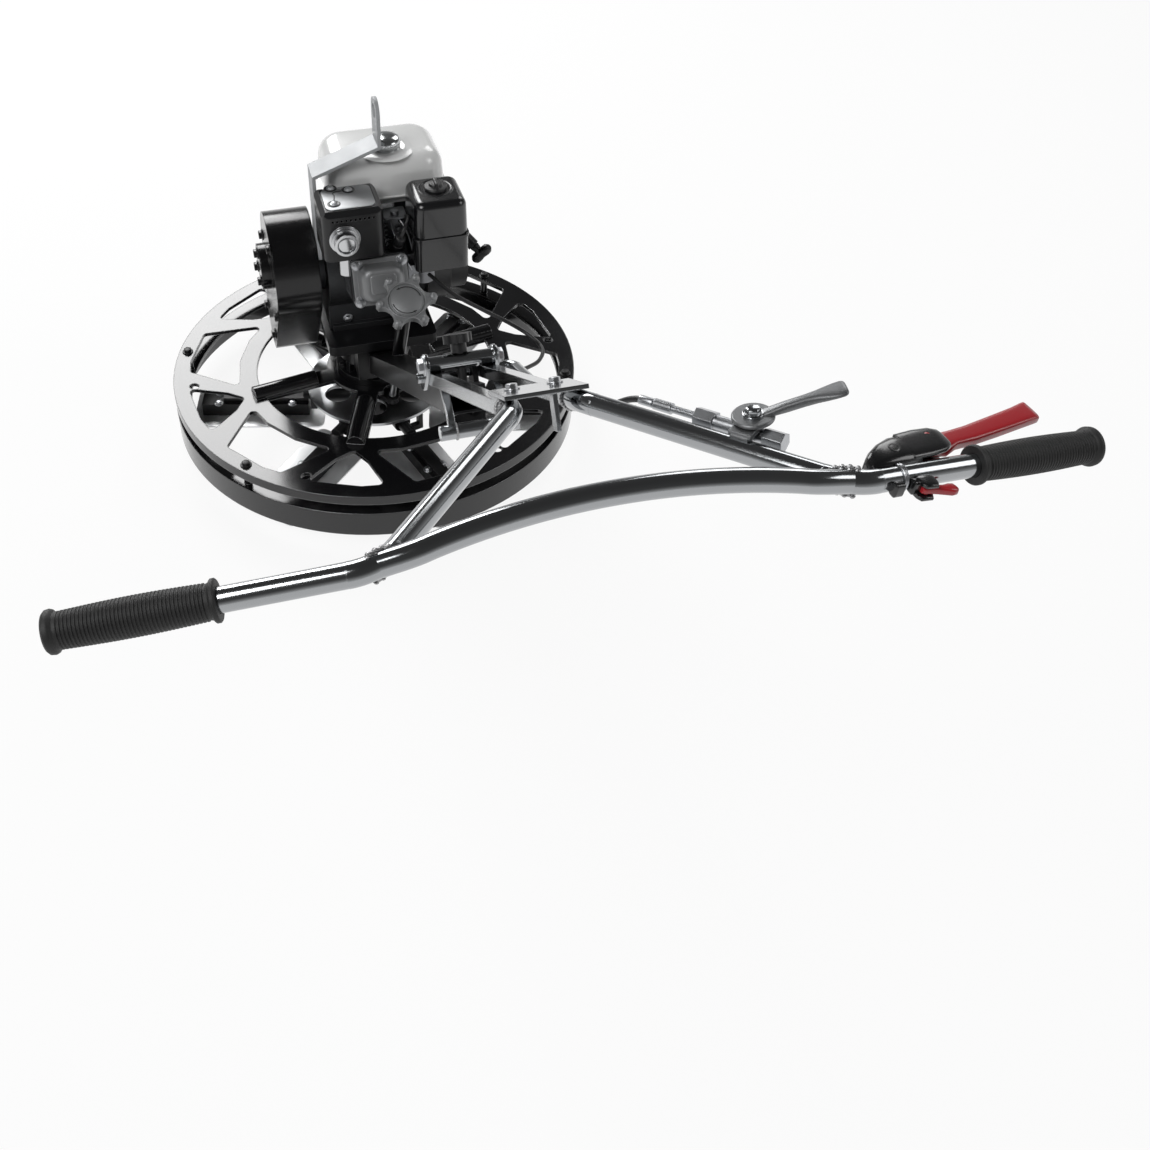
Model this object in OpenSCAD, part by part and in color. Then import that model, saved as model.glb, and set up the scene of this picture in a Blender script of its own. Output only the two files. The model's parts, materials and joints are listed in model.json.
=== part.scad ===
// Walk-behind power trowel: six pitched steel blades under a guard ring,
// turned through a worm gearbox and a belt by a small four-stroke engine,
// steered by a folding tubular handle.
// Millimetres, +Z up. The origin is on the spindle axis at floor level,
// the operator stands on the -Y side and +X is on the operator's right.

/* [Guard ring] */
// Outside diameter of the guard ring
ring_d = 650; // [630:2:680]
// Width of the plate's outer band
ring_band_w = 24; // [20:1:30]
// Outside diameter of the plate's inner band
inner_band_d = 442; // [420:2:460]
// Width of the plate's inner band
inner_band_w = 30; // [24:1:36]
// Thickness of the ring plate
ring_t = 6; // [4:0.5:8]
// Height of the plate's top face above the floor
ring_z = 100; // [98:1:108]
// Depth of the turned-down lip below the plate
ring_lip_h = 10; // [6:1:14]
// Wall of the lip and of the lower hoop
ring_wall = 6; // [4:0.5:8]
// Width of a truss bar
truss_w = 22; // [16:1:28]
// Half of the angle that the two bars of one node open to
truss_spread = 20; // [17:0.5:22]
// Corner radius of the openings in the plate
ring_corner_r = 7; // [3:0.5:9]
// Angle of the first truss node
truss_turn = 10.5; // [0:0.5:59]
// Width of an arm between the hub plate and the inner band
ring_arm_w = 34; // [26:1:40]
// Height of the half-round rib on an arm
ring_rib_r = 14; // [8:1:16]
// Bottom edge of the lower hoop above the floor
hoop_z = 23; // [18:1:30]
// Height of the lower hoop
hoop_h = 43; // [34:1:46]
// Width of the hoop's top flange
hoop_flange_w = 25; // [20:1:30]
// Radius of a post between hoop and plate
hoop_post_r = 6; // [4:0.5:7]

/* [Rotor] */
// Radius that the blade tips reach
blade_reach = 304; // [290:1:310]
// Length of a blade
blade_l = 217; // [190:1:218]
// Width of a blade
blade_w = 100; // [90:1:102]
// Thickness of a blade
blade_t = 2.5; // [2:0.5:4]
// Height of the arm axes above the floor
arm_z = 36; // [35:0.5:38]
// Radius of an arm's round shank
arm_r = 9; // [7:0.5:10]
// Distance from a blade's trailing edge to its arm axis
arm_offset = 45; // [38:1:46]
// Width of the bar that a blade is bolted to
arm_bar_w = 32; // [26:1:36]
// Radius of the spider's centre
hub_r = 40; // [34:1:44]
// Height of the spider's hub
hub_h = 30; // [26:1:30]
// Radius at which the spider's sockets end
socket_end = 92; // [84:1:96]
// Turn of the rotor at rest
rotor_turn = 46; // [0:1:59]
// Radius of the thrust plate
thrust_r = 112; // [108:1:118]
// Thickness of the thrust plate
thrust_t = 5; // [4:0.5:6]
// Radius of the spindle
spindle_r = 17.5; // [15:0.5:18]

/* [Gearbox] */
// Radius of the gearbox foot flange
foot_r = 62; // [60:0.5:62]
// Thickness of the foot flange
foot_t = 12; // [8:1:14]
// Radius of the wheel chamber outside
chamber_r = 58; // [57:0.5:60]
// Height of the housing
housing_h = 98; // [94:1:104]
// Distance from the spindle to the worm shaft
worm_distance = 70; // [69:0.5:74]
// Height of the worm shaft above the plate
worm_h = 67; // [64:1:68]
// Outside radius of the worm
worm_r = 17; // [14:0.5:17]
// Radius of the worm shaft
worm_shaft_r = 11; // [9:0.5:12]
// Teeth on the worm wheel
wheel_teeth = 30; // [24:1:36]
// Outside radius of the worm wheel
wheel_r = 50; // [46:0.5:51]

/* [Engine] */
// Thickness of the engine's mounting plate, which closes the gearbox
plate_t = 16; // [12:1:18]
// Width of the mounting plate
plate_w = 168; // [160:2:172]
// Length of the mounting plate
plate_d = 210; // [200:2:220]
// Height of the crankshaft above the mounting plate
crank_h = 98; // [94:1:104]
// Radius of the crankcase
case_r = 74; // [70:1:76]
// Length of the crankcase along the crankshaft
case_l = 149; // [146:1:152]
// Angle of the cylinder above the horizontal
cylinder_tilt = 18; // [16:1:20]
// Distance from the crankshaft to the valve cover's joint face
head_reach = 150; // [146:1:154]
// Width of the cylinder's fins
fin_w = 84; // [76:2:88]
// Number of cooling fins
fin_count = 6; // [4:1:7]
// Width of the fuel tank
tank_w = 178; // [160:2:180]
// Depth of the fuel tank
tank_d = 128; // [110:2:130]
// Height of the fuel tank
tank_h = 70; // [60:1:72]
// Radius of the fuel cap
cap_r = 22; // [18:0.5:26]
// Width of the air cleaner
cleaner_w = 78; // [70:1:80]
// Depth of the air cleaner
cleaner_d = 84; // [70:1:86]
// Height of the air cleaner
cleaner_h = 108; // [96:1:112]
// Width of the muffler guard
muffler_w = 88; // [78:1:88]
// Depth of the muffler guard
muffler_d = 78; // [70:1:78]
// Height of the muffler guard
muffler_h = 77; // [70:1:80]
// Radius of the recoil starter's housing
recoil_r = 82; // [74:1:82]
// Radius of the exhaust outlet
outlet_r = 17; // [12:0.5:18]
// Width of the lifting bracket's flat bar
lift_w = 40; // [34:1:42]
// Radius of the lifting eye
lift_eye_r = 11; // [8:0.5:13]

/* [Drive] */
// Radius of the clutch drum's rim
drum_r = 38; // [35:1:42]
// Radius of the driven pulley's rim
pulley_r = 42; // [38:1:44]
// Width of the drum and of the pulley
pulley_w = 24; // [20:1:28]
// Width of the V-belt
belt_w = 11; // [9:0.5:13]
// Height of the V-belt
belt_h = 8; // [6:0.5:9]
// Radius of the belt guard round the crankshaft
guard_r = 81; // [76:1:84]
// Radius of the belt guard round the worm shaft
guard_low_r = 49; // [48:1:52]
// Width of the belt guard
guard_w = 67; // [60:1:72]
// Wall of the belt guard
guard_wall = 3; // [2:0.5:4]

/* [Pitch control] */
// Lean of the pitch screw toward the operator
pitch_lean = 28; // [27:0.5:29]
// Radius over the tips of the star knob
star_r = 43; // [36:0.5:44]
// Radius of the pitch screw
screw_r = 5; // [4:0.5:6]
// Radius of the pitch post
post_r = 10; // [8:0.5:11]

/* [Handle] */
// Angle of the boom and rails above the horizontal
boom_angle = 32.5; // [30:0.5:35]
// Width of the boom
boom_w = 44; // [42:0.5:44.5]
// Height of the boom
boom_h = 30; // [26:1:32]
// Wall of the boom
boom_wall = 3; // [2:0.5:4]
// Distance from the boom's root to the fold pin
fold_reach = 600; // [560:5:640]
// Distance from the boom's root to the handlebar fork
fork_reach = 1000; // [960:5:1040]
// Side of a square rail
rail_w = 14; // [12:0.5:16]
// Distance from the middle to a rail's centre
rail_x = 30; // [29.5:0.5:34]
// Radius of the fold pin
fold_pin_r = 6; // [5:0.25:7]
// Radius of the handlebar tube
bar_r = 10; // [9:0.25:11]
// Wall of the handlebar tube
bar_wall = 2; // [1.5:0.25:3]
// Bend radius of the handlebar tube
bar_bend = 40; // [34:1:44]
// Sideways run of a handlebar leg
leg_side = 155; // [145:1:165]
// Backward run of a handlebar leg
leg_back = 198; // [190:1:206]
// Rise of a handlebar leg
leg_rise = 40; // [34:1:46]
// Sideways run of a grip section
grip_side = 238; // [232:1:250]
// Forward run of a grip section
grip_fore = 32; // [26:1:38]
// Drop of a grip section
grip_drop = 37; // [31:1:43]
// Length of a grip
grip_l = 128; // [110:1:135]
// Radius of a grip's body
grip_r = 15.5; // [14:0.25:17]
// Number of ribs on a grip
grip_ribs = 38; // [24:1:42]

/* [Controls] */
// Radius of the throttle lever's disc
throttle_r = 20; // [16:0.5:21]
// Length of the throttle lever
throttle_l = 72; // [60:1:84]
// Length of the stop lever
stop_l = 128; // [110:1:134]
// Diameter of the throttle cable
cable_d = 6; // [5:0.5:7]

/* [Hidden] */
$fn = 72;
// Clearances
gap = 0.3;
run = 0.1;
pin_fit = 0.05;
far = 400;
bend_lap = 1.5;
bend_swell = 0.15;
// Ring
ring_r = ring_d / 2;
inner_r = inner_band_d / 2;
hub_plate_r = 78;
node_count = 6;
node_step = 360 / node_count;
plate_low = ring_z - ring_t;
// Rotor
blade_count = 6;
blade_step = 360 / blade_count;
bar_top = arm_z - arm_r / 3;
finger_r0 = socket_end + 5;
finger_w = 10;
finger_y = 26;
finger_tip_r = 4;
thrust_z = arm_z + 22;
thrust_hole_r = 21;
yoke_t = 8;
yoke_top = plate_low - 8;
yoke_z = yoke_top - yoke_t;
collar_z = thrust_z + thrust_t + gap;
crest_r = 4;
crest_z = yoke_z - gap - crest_r;
collar_r = 32;
yoke_pivot_y = 58;
yoke_pivot_r = 4;
// Gearbox
housing_top = ring_z + housing_h;
worm_z = ring_z + worm_h;
wheel_w = 22;
cavity_r = wheel_r + 3;
tunnel_r = worm_r + 13;
tunnel_l = 124;
pad_y = -74;
pad_x = -40;
pad_w = 66;
pad_t = 10;
neck_r = 42;
neck_lift = 2;
chamber_low = wheel_w + 12;
web_r = 38;
web_t = 8;
worm_l = 68;
worm_room = 3;
worm_end = 52;
// Engine
plate_y0 = -100;
engine_z = housing_top + plate_t;
crank_z = engine_z + crank_h;
case_x0 = -74;
case_x1 = case_x0 + case_l;
cylinder_x = -8;
head_t = 22;
head_hh = 33;
tank_x = 25;
tank_y0 = -60;
tank_z = crank_z + 113;
tank_r = 32;
cleaner_x = 44;
cleaner_y = -150;
cleaner_z = crank_z + 50;
cleaner_split = 54;
muffler_x = -86;
muffler_y = -145;
muffler_z = crank_z + 84;
shield_t = 2.5;
shield_corner = 12;
pipe_at = [-50, -112];
pipe_r = 13;
outlet_at = [muffler_x + 30, muffler_y, muffler_z + 36];
outlet_collar_r = outlet_r + 5;
outlet_wall = 4;
recoil_l = 65;
lift_t = 5;
lift_x = case_x0 - 11;
lift_y = muffler_y + muffler_d + 1;
lift_foot_z = crank_z + 40;
lift_z = crank_z + 176;
lift_span = 96;
lift_rise = 35;
lift_tab_h = 65;
lift_ear_h = 22;
pull_dir = unit([0.6, -0.5, -0.62]);
pull_at = [case_x1 + recoil_l + 10, -64, crank_z + 28];
pull_boss_r = 9;
pull_neck_r = 4;
pull_neck_l = 12;
// Drive
shaft_r = 9.5;
guard_x1 = case_x0 - 12;
guard_x0 = guard_x1 - guard_w;
guard_boss_r = 35;
guard_boss_t = 15;
belt_x = guard_x1 - guard_w / 2 - 3;
drum_c = [0, crank_z];
pulley_c = [worm_distance, worm_z];
drum_groove = drum_r - belt_h;
pulley_groove = pulley_r - belt_h;
// Pitch
knob_at = [13, -221, crank_z + 50];
knob_t = 11;
post_top = 20;
ball_r = screw_r + 1;
screw_top = 7;
screw_l = (knob_at.z - yoke_top - ball_r - gap) / cos(pitch_lean);
screw_foot = knob_at + screw_l * [0, sin(pitch_lean), -cos(pitch_lean)];
// Handle
boom_root = [0, -70, ring_z + 86];
stem_s = 32;
stem_n = 16;
stem_r = 5;
boom_top = -12;
boom_nose = 45;
ear_t = 6;
ear_r = 14;
cheek_t = 4;
cheek_x = rail_x + rail_w / 2;
cross_r = 9;
rail_end = fork_reach - 25;
plug_l = 6;
fork = on_boom(fork_reach, 0, rail_x);
bend_pt = fork + [leg_side, -leg_back, leg_rise];
bar_end = bend_pt + [grip_side, grip_fore, -grip_drop];
leg_dir = unit(bend_pt - fork);
grip_dir = unit(bar_end - bend_pt);
grip_s = norm(bar_end - bend_pt) - grip_l + 4;
bail_s = 90;
bail_n = -54;
bail_l = 88;
bail_r = 8.5;
bail_t = 8;
bail_bow = 60;
cross_sag = 26;
cross_lean = 35;
// Controls
adjuster_s = 63;
barrel_y = 22;
barrel_up = 3;
barrel_r = 6.5;
throttle_s = 156;
throttle_y = 24;
throttle_up = 16;
throttle_pin_l = throttle_up - barrel_up - barrel_r - 1.5;
throttle_pin_r = 3;
housing_s = 27;
housing_l = 48;
stop_pivot_s = housing_s + 63;
stop_pivot_y = 30;
stop_pin_r = 3;
trigger_s = housing_s + 32;
trigger_y = -bar_r - 8;
trigger_pin_r = 2;

function unit(v) = v / norm(v);
function on_boom(s, n, x) = boom_root
    + [x, -s * cos(boom_angle) + n * sin(boom_angle), s * sin(boom_angle) + n * cos(boom_angle)];
function mirrored(path) = [for (p = path) [-p.x, p.y, p.z]];
function turn_at(path, i) = acos(unit(path[i] - path[i - 1]) * unit(path[i + 1] - path[i]));
function side_y(dir) = [-sin(atan2(dir.y, dir.x)), cos(atan2(dir.y, dir.x)), 0];
function side_x(dir) = cross(side_y(dir), unit(dir));
function trim_at(path, i, bend) =
    i == 0 || i == len(path) - 1 ? 0 : bend * tan(turn_at(path, i) / 2);

// Stands a shape that points along Z at a point, pointing along a direction
module along(at, dir) {
    translate(at) rotate([0, acos(unit(dir).z), atan2(dir.y, dir.x)]) children();
}

// Round bar through a list of points, with true arcs at the corners. The bends
// are a hair fatter than the straights, which run a short way into them
module bent_bar(path, r, bend) {
    last = len(path) - 1;
    for (i = [0:last - 1]) {
        dir = unit(path[i + 1] - path[i]);
        from = path[i] + dir * (trim_at(path, i, bend) - (i == 0 ? 0 : bend_lap));
        to = path[i + 1] - dir * (trim_at(path, i + 1, bend) - (i + 1 == last ? 0 : bend_lap));
        along(from, dir) cylinder(r = r, h = norm(to - from));
    }
    for (i = [1:1:last - 1]) {
        dir = unit(path[i] - path[i - 1]);
        next = unit(path[i + 1] - path[i]);
        turn = turn_at(path, i);
        along(path[i] - dir * trim_at(path, i, bend), dir)
            rotate([0, 0, atan2(next * side_y(dir), next * side_x(dir))])
                translate([bend, 0, 0]) rotate([90, 0, 0]) rotate([0, 0, 180 - turn])
                    rotate_extrude(angle = turn) translate([bend, 0]) circle(r = r + bend_swell);
    }
}

// Strip between the two lines that touch both circles
module tangent_strip(a, ra, b, rb) {
    d = norm(b - a);
    head = atan2(b.y - a.y, b.x - a.x);
    open = acos((ra - rb) / d);
    polygon([for (k = [[a, ra, 1], [b, rb, 1], [b, rb, -1], [a, ra, -1]])
        k[0] + k[1] * [cos(head + k[2] * open), sin(head + k[2] * open)]]);
}

// Outline round two circles and the lines that touch both
module round_pair(a, ra, b, rb) {
    translate(a) circle(r = ra);
    translate(b) circle(r = rb);
    tangent_strip(a, ra, b, rb);
}

// Extrudes a drawing in the YZ plane along X
module along_x(x0, l) {
    translate([x0, 0, 0]) rotate([90, 0, 90]) linear_extrude(l) children();
}

// Rectangle with true arcs at its corners
module round_rect(w, d, r) {
    translate([r, 0]) square([w - 2 * r, d]);
    translate([0, r]) square([w, d - 2 * r]);
    for (x = [r, w - r], y = [r, d - r]) translate([x, y]) circle(r = r);
}

// Box with round upright corners and a rounded top edge
module soft_box(w, d, h, r, edge) {
    hull() {
        linear_extrude(1) round_rect(w, d, r, $fn = 32);
        for (q = [0:30:90]) {
            inset = edge * (1 - cos(q));
            translate([inset, inset, h - 0.1 - edge * (1 - sin(q))]) linear_extrude(0.1)
                round_rect(w - 2 * inset, d - 2 * inset, max(r - inset, 1), $fn = 32);
        }
    }
}

// Box with round upright corners and a bevelled top edge
module bevel_box(w, d, h, r, bevel) {
    intersection() {
        linear_extrude(h) round_rect(w, d, r);
        translate([0, d, 0]) rotate([90, 0, 0]) linear_extrude(d) bevel_side(w, h, bevel);
        along_x(0, w) bevel_side(d, h, bevel);
    }
}

module bevel_side(w, h, bevel) {
    polygon([[0, 0], [w, 0], [w, h - bevel], [w - bevel, h], [bevel, h], [0, h - bevel]]);
}

module on_boom_frame() {
    translate(boom_root) rotate([-boom_angle, 0, 0]) children();
}

// Guard ring
module truss_openings() {
    rim = ring_r - ring_band_w;
    mid = inner_r - inner_band_w / 2;
    for (k = [0:node_count - 1]) {
        a = truss_turn + k * node_step;
        offset(r = ring_corner_r, $fn = 24) offset(delta = -ring_corner_r) difference() {
            intersection() {
                circle(r = rim);
                polygon([for (q = [[mid, a], [far * 1.2, a - truss_spread], [far * 1.2, a + truss_spread]])
                    q[0] * [cos(q[1]), sin(q[1])]]);
            }
            circle(r = inner_r);
            truss_bars(a);
        }
        offset(r = ring_corner_r, $fn = 24) offset(delta = -ring_corner_r) difference() {
            intersection() {
                circle(r = rim);
                polygon([for (q = [[0, a], [far * 1.2, a], [far * 1.2, a + node_step]])
                    q[0] * [cos(q[1]), sin(q[1])]]);
            }
            circle(r = inner_r);
            truss_fan(a);
            truss_fan(a + node_step);
        }
    }
}

module truss_bars(a) {
    mid = inner_r - inner_band_w / 2;
    for (side = [-1, 1]) {
        p = mid * [cos(a), sin(a)];
        q = ring_r * [cos(a + side * truss_spread), sin(a + side * truss_spread)];
        translate(p) rotate(atan2(q.y - p.y, q.x - p.x)) translate([0, -truss_w / 2])
            square([norm(q - p) + ring_band_w, truss_w]);
    }
}

module truss_fan(a) {
    truss_bars(a);
    mid = inner_r - inner_band_w / 2;
    polygon([for (q = [[mid, a], [far * 1.2, a - truss_spread], [far * 1.2, a + truss_spread]])
        q[0] * [cos(q[1]), sin(q[1])]]);
}

module ring_outline() {
    difference() {
        circle(r = ring_r);
        truss_openings();
        difference() {
            circle(r = inner_r - inner_band_w);
            circle(r = hub_plate_r);
            for (k = [0:node_count - 1]) rotate(truss_turn + k * node_step)
                translate([0, -ring_arm_w / 2]) square([inner_r, ring_arm_w]);
        }
        circle(r = spindle_r + 16);
        translate([screw_foot.x, screw_foot.y]) circle(r = screw_r + 9);
    }
}

module guard_ring() {
    rib_x0 = hub_plate_r + 24;
    rib_l = inner_r - inner_band_w / 2 - rib_x0;
    color("#17181a") {
        translate([0, 0, plate_low]) linear_extrude(ring_t) ring_outline();
        translate([0, 0, plate_low - ring_lip_h]) difference() {
            cylinder(r = ring_r, h = ring_lip_h, $fn = 144);
            translate([0, 0, -1]) cylinder(r = ring_r - ring_wall, h = ring_lip_h + 2, $fn = 144);
        }
        for (k = [0:node_count - 1]) rotate(truss_turn + k * node_step) intersection() {
            translate([rib_x0, 0, ring_z]) rotate([0, 90, 0]) cylinder(r = ring_rib_r, h = rib_l);
            translate([rib_x0, -far / 2, plate_low + ring_t / 2])
                cube([rib_l, far, ring_rib_r + ring_t / 2]);
        }
        for (side = [-1, 1]) difference() {
            translate([side * 13 - 3, yoke_pivot_y - 8, yoke_z - 4]) cube([6, 16, plate_low - yoke_z + 5]);
            translate([side * 13 - 5, yoke_pivot_y, yoke_z + yoke_t / 2]) rotate([0, 90, 0])
                cylinder(r = yoke_pivot_r + pin_fit, h = 10);
        }
    }
}

module rim_ring() {
    color("#1c1d20") {
        translate([0, 0, hoop_z]) difference() {
            cylinder(r = ring_r, h = hoop_h, $fn = 144);
            translate([0, 0, -1]) cylinder(r = ring_r - ring_wall, h = hoop_h - ring_wall + 1, $fn = 144);
            cylinder(r = ring_r - hoop_flange_w, h = hoop_h + 1, $fn = 144);
        }
        for (k = [0:node_count - 1]) rotate(truss_turn + (k + 0.5) * node_step)
            translate([ring_r - ring_band_w / 2 - 2, 0, hoop_z + hoop_h - ring_wall / 2])
                cylinder(r = hoop_post_r, h = plate_low - hoop_z - hoop_h + ring_wall / 2);
    }
}

// Rotor
module blade_arm(k) {
    bar_x0 = finger_r0 + finger_w + 6;
    bar_l = blade_reach - 14 - bar_x0;
    tip_z = thrust_z - gap - finger_tip_r;
    post_w = 2 * finger_tip_r - 1;
    color("#202124") rotate(rotor_turn + k * blade_step) {
        translate([26, 0, arm_z]) rotate([0, 90, 0]) cylinder(r = arm_r, h = bar_x0 + 8 - 26);
        translate([bar_x0, -arm_bar_w / 2, blade_t]) cube([bar_l, arm_bar_w, bar_top - blade_t - 8]);
        translate([bar_x0, -arm_r, blade_t]) cube([bar_l * 0.8, 2 * arm_r, bar_top - blade_t]);
        translate([finger_r0, 0, arm_z - arm_r]) cube([finger_w, finger_y + post_w / 2, arm_r]);
        translate([finger_r0, finger_y - post_w / 2, arm_z - arm_r])
            cube([finger_w, post_w, tip_z - arm_z + arm_r]);
        translate([finger_r0, finger_y, tip_z]) rotate([0, 90, 0]) cylinder(r = finger_tip_r, h = finger_w);
    }
}

module blade(k) {
    color("#c9ccce") rotate(rotor_turn + k * blade_step)
        translate([blade_reach - blade_l, arm_offset - blade_w, 0]) linear_extrude(blade_t)
            round_rect(blade_l, blade_w, 12);
}

module spider_hub() {
    color("#2a2b2e") difference() {
        union() {
            translate([0, 0, arm_z - hub_h / 2]) cylinder(r = hub_r, h = hub_h);
            for (k = [0:blade_count - 1]) rotate(rotor_turn + k * blade_step)
                translate([spindle_r + 4, 0, arm_z]) rotate([0, 90, 0])
                    cylinder(r = hub_h / 2 - 1, h = socket_end - spindle_r - 4);
        }
        translate([0, 0, arm_z - hub_h]) cylinder(r = spindle_r, h = 2 * hub_h);
        for (k = [0:blade_count - 1]) rotate(rotor_turn + k * blade_step)
            translate([25, 0, arm_z]) rotate([0, 90, 0]) cylinder(r = arm_r + pin_fit, h = socket_end);
    }
}

module thrust_plate() {
    color("#8d9093") translate([0, 0, thrust_z]) difference() {
        cylinder(r = thrust_r, h = thrust_t);
        translate([0, 0, -1]) cylinder(r = spindle_r + run, h = thrust_t + 2);
        for (k = [0:blade_count - 1]) rotate(rotor_turn + (k + 0.5) * blade_step)
            translate([thrust_r * 0.62, 0, -1]) cylinder(r = thrust_hole_r, h = thrust_t + 2);
    }
}

module thrust_collar() {
    color("#6f7275") difference() {
        union() {
            translate([0, 0, collar_z]) cylinder(r = collar_r, h = crest_z - gap - collar_z);
            translate([2 - collar_r, 0, crest_z]) rotate([0, 90, 0])
                cylinder(r = crest_r, h = 2 * collar_r - 4);
        }
        translate([0, 0, collar_z - 1]) cylinder(r = spindle_r + run, h = yoke_z - collar_z + 2);
    }
}

module pitch_yoke() {
    pad = [screw_foot.x, screw_foot.y];
    color("#2a2b2e") {
        translate([0, 0, yoke_z]) linear_extrude(yoke_t) difference() {
            union() {
                circle(r = collar_r + 8);
                translate(pad) circle(r = 10);
                tangent_strip([0, 0], collar_r + 7, pad, 9.4);
                translate([-9, 0]) square([18, yoke_pivot_y]);
                translate([0, yoke_pivot_y]) circle(r = 9);
            }
            circle(r = spindle_r + 4);
        }
        translate([-18, yoke_pivot_y, yoke_z + yoke_t / 2]) rotate([0, 90, 0])
            cylinder(r = yoke_pivot_r, h = 36);
    }
}

module output_shaft() {
    color("#b9bcc0") translate([0, 0, arm_z - hub_h / 2])
        cylinder(r = spindle_r, h = housing_top - 4 - arm_z + hub_h / 2);
}

// Gearbox
module gearbox_housing() {
    color("#1b1c1f") difference() {
        union() {
            translate([0, 0, ring_z]) cylinder(r = foot_r, h = foot_t);
            translate([0, 0, ring_z + neck_lift]) cylinder(r = neck_r, h = worm_z - wheel_w - ring_z);
            translate([0, 0, worm_z - chamber_low])
                cylinder(r = chamber_r, h = housing_top - worm_z + chamber_low);
            for (k = [0:node_count - 1]) rotate((k + 0.5) * node_step)
                translate([web_r, -web_t / 2, ring_z + neck_lift])
                    cube([chamber_r - web_r - 2, web_t, housing_h - 22]);
            along_x(-tunnel_l / 2, tunnel_l) translate([worm_distance, worm_z]) circle(r = tunnel_r);
            translate([pad_x, pad_y, ring_z + 32]) cube([pad_w, -pad_y - 20, housing_h - 32]);
        }
        translate([0, 0, ring_z - 1]) cylinder(r = spindle_r + run, h = housing_h);
        translate([0, 0, worm_z - wheel_w / 2 - 6]) cylinder(r = cavity_r, h = far);
        translate([-worm_l / 2 - 8, worm_distance, worm_z]) rotate([0, 90, 0])
            cylinder(r = worm_r + worm_room, h = worm_l + 16);
        translate([-far, worm_distance, worm_z]) rotate([0, 90, 0])
            cylinder(r = worm_shaft_r + run, h = far + worm_end + 2);
    }
}

module worm_shaft() {
    color("#b9bcc0") {
        translate([guard_x0 + 12, worm_distance, worm_z]) rotate([0, 90, 0])
            cylinder(r = worm_shaft_r, h = worm_end - guard_x0 - 12);
        translate([-worm_l / 2, worm_distance, worm_z]) rotate([0, 90, 0]) cylinder(r = worm_r, h = worm_l);
    }
}

module worm_wheel() {
    pitch = 360 / wheel_teeth;
    root_r = wheel_r - 4;
    tooth = [[root_r, 0], [wheel_r, 0.2], [wheel_r, 0.5], [root_r, 0.7]];
    color("#b5863c") translate([0, 0, worm_z - wheel_w / 2]) linear_extrude(wheel_w) difference() {
        polygon([for (k = [0:wheel_teeth - 1], q = tooth)
            q[0] * [cos((k + q[1]) * pitch), sin((k + q[1]) * pitch)]]);
        circle(r = spindle_r);
    }
}

// Drive
module grooved_pulley(r, bore) {
    difference() {
        rotate_extrude() difference() {
            translate([bore, -pulley_w / 2]) square([r - bore, pulley_w]);
            translate([r - belt_h, -belt_w / 2 - gap]) square([far, belt_w + 2 * gap]);
            for (side = [-1, 1]) translate([bore + 9, side > 0 ? belt_w / 2 + 4 : -pulley_w / 2 - 1])
                square([r - belt_h - bore - 13, pulley_w / 2 - belt_w / 2 - 3]);
        }
    }
}

module driven_pulley() {
    color("#4a4c50") translate([belt_x, worm_distance, worm_z]) rotate([0, 90, 0])
        grooved_pulley(pulley_r, worm_shaft_r);
}

module clutch_drum() {
    color("#55585c") translate([belt_x, 0, crank_z]) rotate([0, 90, 0]) {
        grooved_pulley(drum_r, shaft_r - 1);
        translate([0, 0, guard_x0 + 12 - belt_x]) cylinder(r = shaft_r, h = -40 - guard_x0 - 12);
    }
}

module belt_loop(drum, pulley) {
    hull() {
        translate(drum_c) circle(r = drum, $fn = 48);
        translate(pulley_c) circle(r = pulley, $fn = 48);
    }
}

module drive_belt() {
    color("#111111") along_x(belt_x - belt_w / 2, belt_w) difference() {
        belt_loop(drum_r + gap, pulley_r + gap);
        belt_loop(drum_groove + gap, pulley_groove + gap);
    }
}

module belt_guard() {
    inner = guard_w - 2 * guard_wall;
    color("#131416") difference() {
        union() {
            along_x(guard_x0, guard_w) round_pair(drum_c, guard_r, pulley_c, guard_low_r);
            along_x(guard_x0 - guard_boss_t, guard_boss_t + 1) translate(drum_c) circle(r = guard_boss_r);
        }
        along_x(guard_x0 + guard_wall, inner)
            round_pair(drum_c, guard_r - guard_wall, pulley_c, guard_low_r - guard_wall);
        along_x(guard_x0 - guard_boss_t + guard_wall, guard_boss_t + 1)
            translate(drum_c) circle(r = guard_boss_r - guard_wall);
        along_x(guard_x1 - guard_w / 2, guard_w) translate(drum_c) circle(r = shaft_r + 12);
        along_x(guard_x1 - guard_w / 2, guard_w) translate(pulley_c) circle(r = worm_shaft_r + 4);
    }
}

// Engine
module engine_plate() {
    color("#1e1f22") translate([-plate_w / 2, plate_y0, housing_top]) linear_extrude(plate_t)
        round_rect(plate_w, plate_d, 10);
}

module crankcase() {
    color("#3a3c3f") difference() {
        union() {
            along_x(case_x0, case_l) {
                translate(drum_c) circle(r = case_r);
                translate([-50, engine_z]) square([case_r + 50, crank_h]);
            }
            along_x(case_x0 + 4, case_l - 8) translate([-58, engine_z]) square([160, 10]);
            along_x(case_x0 - 12, 12) translate(drum_c) circle(r = 46);
            translate([lift_x + lift_t, lift_y, lift_foot_z])
                cube([case_x0 + 8 - lift_x - lift_t, lift_w, lift_ear_h]);
            for (x = [-50, 40]) translate([x, -14, crank_z]) cube([18, 28, tank_z - crank_z]);
        }
        along_x(-far, far - 39) translate(drum_c) circle(r = shaft_r + run);
        along_x(case_x0 - 13, 8) translate(drum_c) circle(r = 34);
    }
}

module in_cylinder() {
    translate([cylinder_x, 0, crank_z]) rotate([90 - cylinder_tilt, 0, 0]) children();
}

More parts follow.
